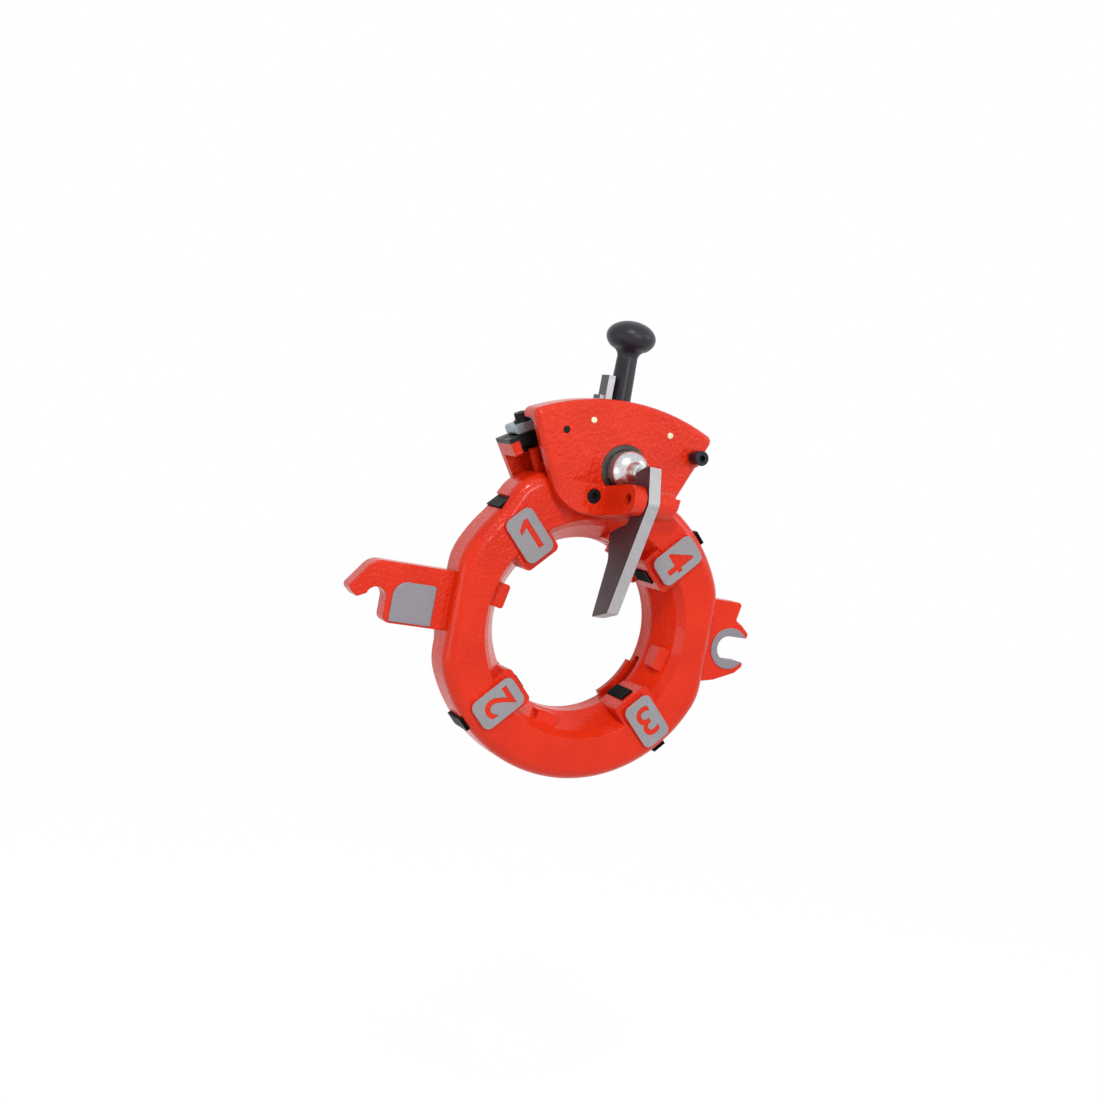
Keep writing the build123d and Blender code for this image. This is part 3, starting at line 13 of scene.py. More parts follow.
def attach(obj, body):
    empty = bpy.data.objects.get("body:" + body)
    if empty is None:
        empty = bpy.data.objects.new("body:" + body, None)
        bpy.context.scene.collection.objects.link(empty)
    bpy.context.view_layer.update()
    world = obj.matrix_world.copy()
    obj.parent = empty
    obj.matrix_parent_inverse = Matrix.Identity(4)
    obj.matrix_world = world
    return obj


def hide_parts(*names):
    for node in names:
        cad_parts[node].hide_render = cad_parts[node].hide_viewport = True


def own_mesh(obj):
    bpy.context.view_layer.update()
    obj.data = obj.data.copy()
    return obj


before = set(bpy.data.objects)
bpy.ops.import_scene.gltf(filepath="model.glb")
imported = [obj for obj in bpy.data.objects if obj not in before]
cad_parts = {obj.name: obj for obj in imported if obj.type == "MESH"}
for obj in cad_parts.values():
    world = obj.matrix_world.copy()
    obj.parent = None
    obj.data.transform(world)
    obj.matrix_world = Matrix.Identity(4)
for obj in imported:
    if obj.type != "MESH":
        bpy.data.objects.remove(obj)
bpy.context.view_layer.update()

LOG = logging.getLogger("die_head")
MM = 0.001

Colour = tuple[float, float, float]
Triple = tuple[float, float, float]
Span = tuple[float, float]
Socket = bpy.types.NodeSocket
Feed = Socket | Colour | float

# Part of a noise's values that holds nearly all of them
TONE_SPAN: Span = (0.35, 0.65)

# Places of the factor, both colours and the result on a Mix node that mixes colours
MIX_FACTOR, MIX_FIRST, MIX_SECOND, MIX_RESULT = 0, 6, 7, 2


def new_mesh(name: str, shape: bmesh.types.BMesh) -> bpy.types.Mesh:
    """Write a bmesh into a new mesh and free it.

    Args:
        name: Name of the mesh.
        shape: The bmesh, which can't be used afterwards.

    Returns:
        The new mesh.
    """
    mesh = bpy.data.meshes.new(name)
    shape.to_mesh(mesh)
    shape.free()
    return mesh


def new_object(name: str, data: bpy.types.ID) -> bpy.types.Object:
    """Add an object with its data to the scene.

    Args:
        name: Name of the object.
        data: Its mesh, curve, lamp or camera.

    Returns:
        The new object.
    """
    item = bpy.data.objects.new(name, data)
    bpy.context.scene.collection.objects.link(item)
    return item


class Effect(Enum):
    """Surface effects that more than one finish uses."""

    CAST_SKIN = "cast skin"
    GROUND_GRAIN = "ground grain"
    HANDLING = "handling marks"
    SOFT_EDGE = "soft edge"


class NodeSheet:
    """A node tree with short calls for adding and joining nodes."""

    def __init__(self, tree: bpy.types.NodeTree) -> None:
        """Keep the tree that the calls work on.

        Args:
            tree: The node tree of a material, a world or a group.
        """
        self.tree = tree

    def add(self, kind: str, **settings: object) -> bpy.types.Node:
        """Add a node and set its properties.

        Args:
            kind: Blender's name of the node type.
            settings: Properties of the node.

        Returns:
            The new node.
        """
        node = self.tree.nodes.new(kind)
        for name, value in settings.items():
            setattr(node, name, value)
        return node

    def put(self, value: Feed, target: Socket) -> None:
        """Link an output to an input, or set the input itself.

        Args:
            value: An output to link, a colour without alpha, or a number.
            target: The input.
        """
        if isinstance(value, Socket):
            self.tree.links.new(value, target)
        elif isinstance(value, tuple):
            target.default_value = (*value, 1.0)
        else:
            target.default_value = value

    def fill(self, node: bpy.types.Node, values: dict[str, Feed]) -> None:
        """Put a value on several inputs of a node.

        Args:
            node: The node.
            values: What goes to the input of each label.
        """
        for label, value in values.items():
            self.put(value, node.inputs[label])

    def spot(self) -> Socket:
        """Add the object's own coordinates."""
        return self.add("ShaderNodeTexCoord").outputs["Object"]

    def math(
        self, operation: str, first: Feed, second: Feed = 0.0, clamp: bool = False
    ) -> Socket:
        """Add a math node whose inputs are sockets or numbers.

        Args:
            operation: The math operation.
            first: Socket or number for the first input.
            second: Socket or number for the second input.
            clamp: Whether the result is clamped to 0 and 1.

        Returns:
            The node's output.
        """
        node = self.add("ShaderNodeMath", operation=operation, use_clamp=clamp)
        self.put(first, node.inputs[0])
        self.put(second, node.inputs[1])
        return node.outputs[0]

    def times(self, first: Feed, second: Feed) -> Socket:
        """Multiply two sockets or numbers."""
        return self.math("MULTIPLY", first, second)

    def noise(self, vector: Socket, scale: Feed, detail: float, rough: float = 0.5) -> Socket:
        """Add a noise texture.

        Args:
            vector: The coordinates.
            scale: Socket or number of noise cells in a metre.
            detail: Octaves.
            rough: Roughness of the octaves.

        Returns:
            The noise from 0 to 1.
        """
        node = self.add("ShaderNodeTexNoise")
        values = {"Vector": vector, "Scale": scale, "Detail": detail, "Roughness": rough}
        self.fill(node, values)
        return node.outputs["Fac"]

    def ramp(self, value: Socket, given: Span, result: Span = (0.0, 1.0)) -> Socket:
        """Map a value from one range to another, clamped.

        Args:
            value: The value.
            given: The incoming range.
            result: What the ends of the incoming range become.

        Returns:
            The mapped value.
        """
        node = self.add("ShaderNodeMapRange")
        labels = ("Value", "From Min", "From Max", "To Min", "To Max")
        self.fill(node, dict(zip(labels, (value, *given, *result))))
        return node.outputs["Result"]

    def blend(self, mask: Socket, first: Feed, second: Feed) -> Socket:
        """Mix two colours by a mask.

        Args:
            mask: Where the second colour shows.
            first: Colour or socket under the mask's dark part.
            second: Colour or socket under the mask's light part.

        Returns:
            The mixed colour.
        """
        node = self.add("ShaderNodeMix", data_type="RGBA")
        for value, place in ((mask, MIX_FACTOR), (first, MIX_FIRST), (second, MIX_SECOND)):
            self.put(value, node.inputs[place])
        return node.outputs[MIX_RESULT]

    def bump(
        self, height: Socket, strength: float, depth: float, normal: Socket | None = None
    ) -> Socket:
        """Turn a height into a normal.

        Args:
            height: The height from 0 to 1.
            strength: How much of the relief shows.
            depth: Metres that a height of 1 stands for.
            normal: The normal that the relief lies on, if not the surface's own.

        Returns:
            The normal.
        """
        node = self.add("ShaderNodeBump")
        self.fill(node, {"Strength": strength, "Distance": depth, "Height": height})
        if normal is not None:
            self.put(normal, node.inputs["Normal"])
        return node.outputs["Normal"]


@dataclass
class EffectShelf:
    """Builds each shared effect once and places it in materials.

    Scales are noise cells in a metre, and spans are parts of a value's range.
    """

    wave_scale: float = 70.0
    tone_scale: float = 26.0
    cloud_scale: float = 60.0
    streak_share: float = 0.6
    speck_scale: float = 900.0
    smear_span: Span = (0.35, 0.7)
    speck_span: Span = (0.66, 0.72)
    edge_span: Span = (0.99, 0.86)
    edge_samples: int = 4
    made: dict[Effect, bpy.types.NodeTree] = field(default_factory=dict)

    def place(
        self, sheet: NodeSheet, effect: Effect, **values: float | Triple
    ) -> bpy.types.Node:
        """Place an effect in a material with its own values.

        Args:
            sheet: The material's nodes.
            effect: Which effect.
            values: Values of the group's inputs, with underscores for spaces.

        Returns:
            The group node.
        """
        if effect not in self.made:
            self.made[effect] = self._build(effect)
        node = sheet.add("ShaderNodeGroup", node_tree=self.made[effect])
        for name, value in values.items():
            node.inputs[name.replace("_", " ")].default_value = value
        return node

    def _build(self, effect: Effect) -> bpy.types.NodeTree:
        """Build one effect's node group."""
        builders = {
            Effect.CAST_SKIN: self._cast_skin,
            Effect.GROUND_GRAIN: self._ground_grain,
            Effect.HANDLING: self._handling,
            Effect.SOFT_EDGE: self._soft_edge,
        }
        return builders[effect]()

    @staticmethod
    def _start(
        effect: Effect, inputs: dict[str, float | Triple], outputs: dict[str, str]
    ) -> tuple[NodeSheet, bpy.types.Node, bpy.types.Node]:
        """Make an empty group with its sockets.

        Args:
            effect: The effect, which gives the group its name.
            inputs: Default value of each input; a tuple makes a vector socket.
            outputs: Socket type of each output.

        Returns:
            The group's sheet, its input node and its output node.
        """
        tree = bpy.data.node_groups.new(effect.value, "ShaderNodeTree")
        for label, value in inputs.items():
            kind = "NodeSocketVector" if isinstance(value, tuple) else "NodeSocketFloat"
            socket = tree.interface.new_socket(label, in_out="INPUT", socket_type=kind)
            socket.default_value = value
        for label, kind in outputs.items():
            tree.interface.new_socket(label, in_out="OUTPUT", socket_type=kind)
        sheet = NodeSheet(tree)
        return sheet, sheet.add("NodeGroupInput"), sheet.add("NodeGroupOutput")

    def _cast_skin(self) -> bpy.types.NodeTree:
        """Fine orange peel over the wide unevenness of a sand casting."""
        sheet, entry, leave = self._start(
            Effect.CAST_SKIN,
            {"Peel Scale": 420.0, "Peel": 1.0, "Waves": 1.0},
            {"Height": "NodeSocketFloat", "Tone": "NodeSocketFloat"},
        )
        spot = sheet.spot()
        peel = sheet.noise(spot, entry.outputs["Peel Scale"], detail=2.0, rough=0.45)
        waves = sheet.noise(spot, self.wave_scale, detail=2.0)
        low = sheet.times(peel, entry.outputs["Peel"])
        high = sheet.times(waves, entry.outputs["Waves"])
        tone = sheet.noise(spot, self.tone_scale, detail=3.0)
        sheet.fill(leave, {"Height": sheet.math("ADD", low, high), "Tone": tone})
        return sheet.tree

    def _ground_grain(self) -> bpy.types.NodeTree:
        """Streaks of grinding, drawn out across the given stretch."""
        sheet, entry, leave = self._start(
            Effect.GROUND_GRAIN,
            {"Stretch": (60.0, 900.0, 900.0)},
            {"Height": "NodeSocketFloat", "Tone": "NodeSocketFloat"},
        )
        spot = sheet.spot()
        drawn = sheet.add("ShaderNodeVectorMath", operation="MULTIPLY")
        sheet.put(spot, drawn.inputs[0])
        sheet.put(entry.outputs["Stretch"], drawn.inputs[1])
        streaks = sheet.noise(drawn.outputs[0], 1.0, detail=3.0, rough=0.6)
        clouds = sheet.noise(spot, self.cloud_scale, detail=4.0, rough=0.6)
        tone = sheet.math(
            "ADD",
            sheet.times(streaks, self.streak_share),
            sheet.times(clouds, 1.0 - self.streak_share),
        )
        sheet.fill(leave, {"Height": streaks, "Tone": tone})
        return sheet.tree

    def _handling(self) -> bpy.types.NodeTree:
        """Smears and specks that change the gloss."""
        sheet, entry, leave = self._start(
            Effect.HANDLING,
            {"Scale": 45.0},
            {"Smears": "NodeSocketFloat", "Specks": "NodeSocketFloat"},
        )
        spot = sheet.spot()
        smears = sheet.noise(spot, entry.outputs["Scale"], detail=5.0, rough=0.65)
        specks = sheet.noise(spot, self.speck_scale, detail=1.0)
        masks = {
            "Smears": sheet.ramp(smears, self.smear_span),
            "Specks": sheet.ramp(specks, self.speck_span),
        }
        sheet.fill(leave, masks)
        return sheet.tree

    def _soft_edge(self) -> bpy.types.NodeTree:
        """Normal that rounds the edges a little, and a mask of those edges."""
        sheet, entry, leave = self._start(
            Effect.SOFT_EDGE,
            {"Radius": 0.6 * MM},
            {"Normal": "NodeSocketVector", "Edge": "NodeSocketFloat"},
        )
        rounded = sheet.add("ShaderNodeBevel", samples=self.edge_samples)
        sheet.put(entry.outputs["Radius"], rounded.inputs["Radius"])
        plain = sheet.add("ShaderNodeNewGeometry").outputs["Normal"]
        likeness = sheet.add("ShaderNodeVectorMath", operation="DOT_PRODUCT")
        sheet.put(rounded.outputs["Normal"], likeness.inputs[0])
        sheet.put(plain, likeness.inputs[1])
        edge = sheet.ramp(likeness.outputs["Value"], self.edge_span)
        sheet.fill(leave, {"Normal": rounded.outputs["Normal"], "Edge": edge})
        return sheet.tree


EFFECTS = EffectShelf()


@dataclass(frozen=True)
class Finish:
    """A named finish that can become one material."""

    name: str

    def _start(self) -> tuple[bpy.types.Material, NodeSheet, bpy.types.Node]:
        """Make the material with an empty Principled shader.

        Returns:
            The material, its nodes and the shader node.
        """
        material = bpy.data.materials.new(self.name)
        material.use_nodes = True
        nodes = material.node_tree.nodes
        return material, NodeSheet(material.node_tree), nodes["Principled BSDF"]

    @staticmethod
    def _smeared(
        sheet: NodeSheet, marks: bpy.types.Node, roughness: float, spread: Span
    ) -> Socket:
        """Let the smears vary a roughness.

        Args:
            sheet: The material's nodes.
            marks: The handling marks.
            roughness: The roughness that varies.
            spread: How far it goes below and above.

        Returns:
            The varied roughness.
        """
        less, more = spread
        result = (roughness - less, roughness + more)
        return sheet.ramp(marks.outputs["Smears"], (0.0, 1.0), result)

    def material(self) -> bpy.types.Material:
        """Build the material."""
        raise NotImplementedError


@dataclass(frozen=True)
class MilledPlaces:
    """Bare metal of the head casting: the arm's seat, the socket's face and its bore."""

    colour: Colour = (0.275, 0.255, 0.285)
    face_level: float = 16.4 * MM
    face_slack: float = 0.25 * MM
    face_start: float = 105.0 * MM
    bore_middle: float = 122.5 * MM
    bore_reach: float = 9.12 * MM
    stretch: Triple = (500.0, 500.0, 500.0)
    grain_span: Span = (0.3, 0.7)
    grain_tones: Span = (0.86, 1.0)
    extra_roughness: float = 0.18
    flatness: float = 0.93
    metallic: float = 0.75

    def metal(self, sheet: NodeSheet) -> Socket:
        """Colour of the bare metal with its grain."""
        grain = EFFECTS.place(sheet, Effect.GROUND_GRAIN, Stretch=self.stretch)
        tone = sheet.ramp(grain.outputs["Tone"], self.grain_span, self.grain_tones)
        return sheet.blend(tone, (0.0, 0.0, 0.0), self.colour)

    def mask(self, sheet: NodeSheet) -> Socket:
        """Mask of the bare metal by its place on the casting.

        Args:
            sheet: The material's nodes.

        Returns:
            One on the bare metal, zero on the paint.
        """
        parts = sheet.add("ShaderNodeSeparateXYZ")
        sheet.put(sheet.spot(), parts.inputs[0])
        x, y, z = parts.outputs
        off_face = sheet.math("ABSOLUTE", sheet.math("SUBTRACT", y, self.face_level))
        on_face = sheet.math("LESS_THAN", off_face, self.face_slack)
        far_out = sheet.math("GREATER_THAN", sheet.math("ABSOLUTE", x), self.face_start)
        from_bore = sheet.math("SUBTRACT", x, self.bore_middle)
        squares = sheet.math("ADD", sheet.times(from_bore, from_bore), sheet.times(z, z))
        in_bore = sheet.math("LESS_THAN", sheet.math("SQRT", squares), self.bore_reach)
        between_jaws = sheet.math("LESS_THAN", sheet.math("ABSOLUTE", z), self.bore_reach)
        past_bore = sheet.math("GREATER_THAN", x, self.bore_middle)
        socket = sheet.math("MAXIMUM", in_bore, sheet.times(between_jaws, past_bore))
        return sheet.math("MAXIMUM", sheet.times(on_face, far_out), socket, clamp=True)


@dataclass(frozen=True)
class GlossPaint(Finish):
    """Glossy paint over a cast skin, with milled places where asked."""

    colour: Colour = (0.76, 0.026, 0.002)
    shade: Colour = (0.68, 0.020, 0.001)
    fleck: Colour = (0.25, 0.02, 0.012)
    fleck_share: float = 0.12
    smear_scale: float = 30.0
    peel_scale: float = 480.0
    peel: float = 1.15
    waves: float = 1.1
    relief: float = 0.55
    depth: float = 0.9 * MM
    edge_radius: float = 0.9 * MM
    roughness: float = 0.27
    roughness_spread: Span = (0.04, 0.07)
    coat: float = 0.24
    coat_roughness: float = 0.08
    specular: float = 0.15
    milled: MilledPlaces | None = None

    def material(self) -> bpy.types.Material:
        """Build the paint, and the bare metal places if it has them.

        Returns:
            The finished material.
        """
        material, sheet, shader = self._start()
        skin = EFFECTS.place(
            sheet, Effect.CAST_SKIN, Peel_Scale=self.peel_scale, Peel=self.peel, Waves=self.waves
        )
        marks = EFFECTS.place(sheet, Effect.HANDLING, Scale=self.smear_scale)
        edge = EFFECTS.place(sheet, Effect.SOFT_EDGE, Radius=self.edge_radius)
        tone = sheet.ramp(skin.outputs["Tone"], TONE_SPAN)
        flecks = sheet.times(marks.outputs["Specks"], self.fleck_share)
        colour = sheet.blend(flecks, sheet.blend(tone, self.shade, self.colour), self.fleck)
        rough = self._smeared(sheet, marks, self.roughness, self.roughness_spread)
        height = skin.outputs["Height"]
        coat = self.coat
        if self.milled is not None:
            bare = self.milled.mask(sheet)
            colour = sheet.blend(bare, colour, self.milled.metal(sheet))
            rough = sheet.math("ADD", rough, sheet.times(bare, self.milled.extra_roughness))
            evened = sheet.times(bare, self.milled.flatness)
            height = sheet.times(height, sheet.math("SUBTRACT", 1.0, evened))
            coat = sheet.times(sheet.math("SUBTRACT", 1.0, bare), self.coat)
            sheet.put(sheet.times(bare, self.milled.metallic), shader.inputs["Metallic"])
        values = {
            "Base Color": colour,
            "Roughness": rough,
            "Specular IOR Level": self.specular,
            "Coat Weight": coat,
            "Coat Roughness": self.coat_roughness,
            "Normal": sheet.bump(height, self.relief, self.depth, edge.outputs["Normal"]),
        }
        sheet.fill(shader, values)
        return material


@dataclass(frozen=True)
class WorkedMetal(Finish):
    """Ground, turned or drawn metal with streaks, smears, brighter edges and, where asked,
    painted shade on the faces that look left or right.
    """

    colour: Colour = (0.4, 0.4, 0.4)
    edge_colour: Colour = (0.6, 0.6, 0.6)
    stretch: Triple = (500.0, 500.0, 60.0)
    smear_scale: float = 60.0
    roughness: float = 0.35
    roughness_spread: Span = (0.05, 0.08)
    metallic: float = 0.9
    relief: float = 0.4
    depth: float = 0.03 * MM
    contrast: float = 0.18
    edge_radius: float = 0.4 * MM
    edge_share: float = 0.6
    # Colour of painted shade on the faces that look left or right
    painted_shade_colour: Colour | None = None
    painted_shade_span: Span = (0.6, 0.8)
    specular: float = 0.5

    def material(self) -> bpy.types.Material:
        """Build the metal.

        Returns:
            The finished material.
        """
        material, sheet, shader = self._start()
        grain = EFFECTS.place(sheet, Effect.GROUND_GRAIN, Stretch=self.stretch)
        marks = EFFECTS.place(sheet, Effect.HANDLING, Scale=self.smear_scale)
        edge = EFFECTS.place(sheet, Effect.SOFT_EDGE, Radius=self.edge_radius)
        dark = tuple(part * (1.0 - self.contrast) for part in self.colour)
        light = tuple(min(1.0, part * (1.0 + self.contrast)) for part in self.colour)
        colour = sheet.blend(sheet.ramp(grain.outputs["Tone"], TONE_SPAN), dark, light)
        # Painted shade: faces that look left or right get the darker colour
        if self.painted_shade_colour is not None:
            colour = sheet.blend(self._painted_shade_mask(sheet), colour, self.painted_shade_colour)
        worn = sheet.times(edge.outputs["Edge"], self.edge_share)
        normal = edge.outputs["Normal"]
        values = {
            "Base Color": sheet.blend(worn, colour, self.edge_colour),
            "Roughness": self._smeared(sheet, marks, self.roughness, self.roughness_spread),
            "Metallic": self.metallic,
            "Specular IOR Level": self.specular,
            "Normal": sheet.bump(grain.outputs["Height"], self.relief, self.depth, normal),
        }
        sheet.fill(shader, values)
        return material

    def _painted_shade_mask(self, sheet: NodeSheet) -> Socket:
        """Mask of painted shade: one on the faces that look left or right, zero on the front and
        back.
        """
        parts = sheet.add("ShaderNodeSeparateXYZ")
        sheet.put(sheet.add("ShaderNodeNewGeometry").outputs["Normal"], parts.inputs[0])
        return sheet.ramp(sheet.math("ABSOLUTE", parts.outputs[0]), self.painted_shade_span)


@dataclass(frozen=True)
class MouldedPlastic(Finish):
    """Satin moulded plastic with a fine grain."""

    colour: Colour = (0.012, 0.012, 0.017)
    worn: Colour = (0.030, 0.029, 0.042)
    worn_share: float = 0.6
    smear_scale: float = 40.0
    grain_scale: float = 1500.0
    waves: float = 0.3
    relief: float = 0.5
    depth: float = 0.08 * MM
    roughness: float = 0.36
    roughness_spread: Span = (0.06, 0.08)
    specular: float = 0.3

    def material(self) -> bpy.types.Material:
        """Build the plastic.

        Returns:
            The finished material.
        """
        material, sheet, shader = self._start()
        skin = EFFECTS.place(
            sheet, Effect.CAST_SKIN, Peel_Scale=self.grain_scale, Peel=1.0, Waves=self.waves
        )
        marks = EFFECTS.place(sheet, Effect.HANDLING, Scale=self.smear_scale)
        worn = sheet.times(marks.outputs["Smears"], self.worn_share)
        values = {
            "Base Color": sheet.blend(worn, self.colour, self.worn),
            "Roughness": self._smeared(sheet, marks, self.roughness, self.roughness_spread),
            "Specular IOR Level": self.specular,
            "Normal": sheet.bump(skin.outputs["Height"], self.relief, self.depth),
        }
        sheet.fill(shader, values)
        return material


@dataclass(frozen=True)
class FinishSet:
    """All finishes of the die head."""

    casting: Finish = GlossPaint("red paint on the head casting", milled=MilledPlaces())
    cover: Finish = GlossPaint(
        "hammered red paint on the cover",
        peel_scale=430.0,
        peel=1.5,
        waves=0.6,
        depth=1.4 * MM,
        roughness=0.26,
        coat=0.36,
    )
    ring: Finish = GlossPaint("red paint on the retaining ring", roughness=0.36)
    pad_face: Finish = WorkedMetal(
        "milled pad face",
        colour=(0.29, 0.275, 0.292),
        edge_colour=(0.34, 0.32, 0.34),
        stretch=(700.0, 700.0, 700.0),
        roughness=0.55,
        metallic=0.25,
        contrast=0.10,
    )
    cam: Finish = WorkedMetal(
        "ground cam plate",
        colour=(0.34, 0.335, 0.34),
        edge_colour=(0.5, 0.5, 0.5),
        roughness=0.38,
        metallic=0.85,
    )
    die: Finish = WorkedMetal(
        "black oxide on the dies",
        colour=(0.004, 0.004, 0.0045),
        edge_colour=(0.035, 0.035, 0.037),
        roughness=0.36,
        metallic=0.0,
        edge_share=0.4,
        specular=0.03,
    )
    black: Finish = WorkedMetal(
        "black oxide on screws and bar",
        colour=(0.009, 0.009, 0.010),
        edge_colour=(0.09, 0.09, 0.095),
        roughness=0.36,
        metallic=0.1,
        specular=0.15,
        edge_share=0.45,
        edge_radius=0.3 * MM,
    )
    cap: Finish = WorkedMetal(
        "blued cap screw",
        colour=(0.012, 0.013, 0.024),
        edge_colour=(0.09, 0.10, 0.15),
        roughness=0.30,
        metallic=0.4,
        edge_share=0.45,
        edge_radius=0.3 * MM,
    )
    zinc: Finish = WorkedMetal(
        "bright zinc",
        colour=(0.60, 0.605, 0.615),
        edge_colour=(0.80, 0.80, 0.80),
        stretch=(600.0, 600.0, 600.0),
        roughness=0.24,
        metallic=0.92,
        depth=0.08 * MM,
        contrast=0.2,
    )
    lever: Finish = WorkedMetal(
        "drawn steel of the lever",
        colour=(0.43, 0.42, 0.435),
        edge_colour=(0.52, 0.51, 0.525),
        stretch=(300.0, 300.0, 300.0),
        roughness=0.42,
        metallic=0.4,
        contrast=0.08,
        edge_share=0.4,
        # Painted shade, reddish, on the broad sides of the lever and the throwout arm
        painted_shade_colour=(0.062, 0.036, 0.042),
    )
    pawl: Finish = WorkedMetal(
        "zinc on the release pawl",
        colour=(0.49, 0.49, 0.51),
        edge_colour=(0.65, 0.65, 0.67),
        stretch=(500.0, 500.0, 500.0),
        roughness=0.38,
        metallic=0.6,
        # Painted shade on the pawl's faces that look left or right
        painted_shade_colour=(0.08, 0.08, 0.095),
    )
    bush: Finish = WorkedMetal(
        "dark turned bush",
        colour=(0.07, 0.062, 0.058),
        edge_colour=(0.3, 0.29, 0.28),
        roughness=0.3,
        metallic=0.8,
    )
    rivet: Finish = WorkedMetal(
        "passivated rivet",
        colour=(0.78, 0.76, 0.50),
        edge_colour=(0.85, 0.84, 0.6),
        roughness=0.35,
        metallic=0.35,
    )
    block: Finish = WorkedMetal(
        "zinc on the stop block",
        colour=(0.33, 0.40, 0.46),
        edge_colour=(0.5, 0.53, 0.57),
        roughness=0.36,
        metallic=0.5,
    )
    grip: Finish = MouldedPlastic("moulded grip")


class Dresser:
    """Gives CAD nodes and new pieces their finishes."""

    def __init__(self, finishes: FinishSet) -> None:
        """Keep the finishes, and the materials built from them.

        Args:
            finishes: The finishes of the object.
        """
        self.finishes = finishes
        self.ready: dict[str, bpy.types.Material] = {}

    def material(self, finish: Finish) -> bpy.types.Material:
        """Return the finish's material, built on first use."""
        if finish.name not in self.ready:
            self.ready[finish.name] = finish.material()
        return self.ready[finish.name]

    def paint(self, piece: bpy.types.Object, finish: Finish) -> None:
        """Give an object's material slots a finish.

        Args:
            piece: The object, which gets a slot if it has none.
            finish: The finish.
        """
        material = self.material(finish)
        if not piece.material_slots:
            piece.data.materials.append(material)
        for slot in piece.material_slots:
            slot.material = material

    def nodes(self, finish: Finish, *names: str) -> None:
        """Dress CAD nodes and report them.

        Args:
            finish: The finish.
            names: Names of the nodes that get it.
        """
        for name in names:
            self.paint(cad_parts[name], finish)
            LOG.info("dressed %s with %s", name, finish.name)


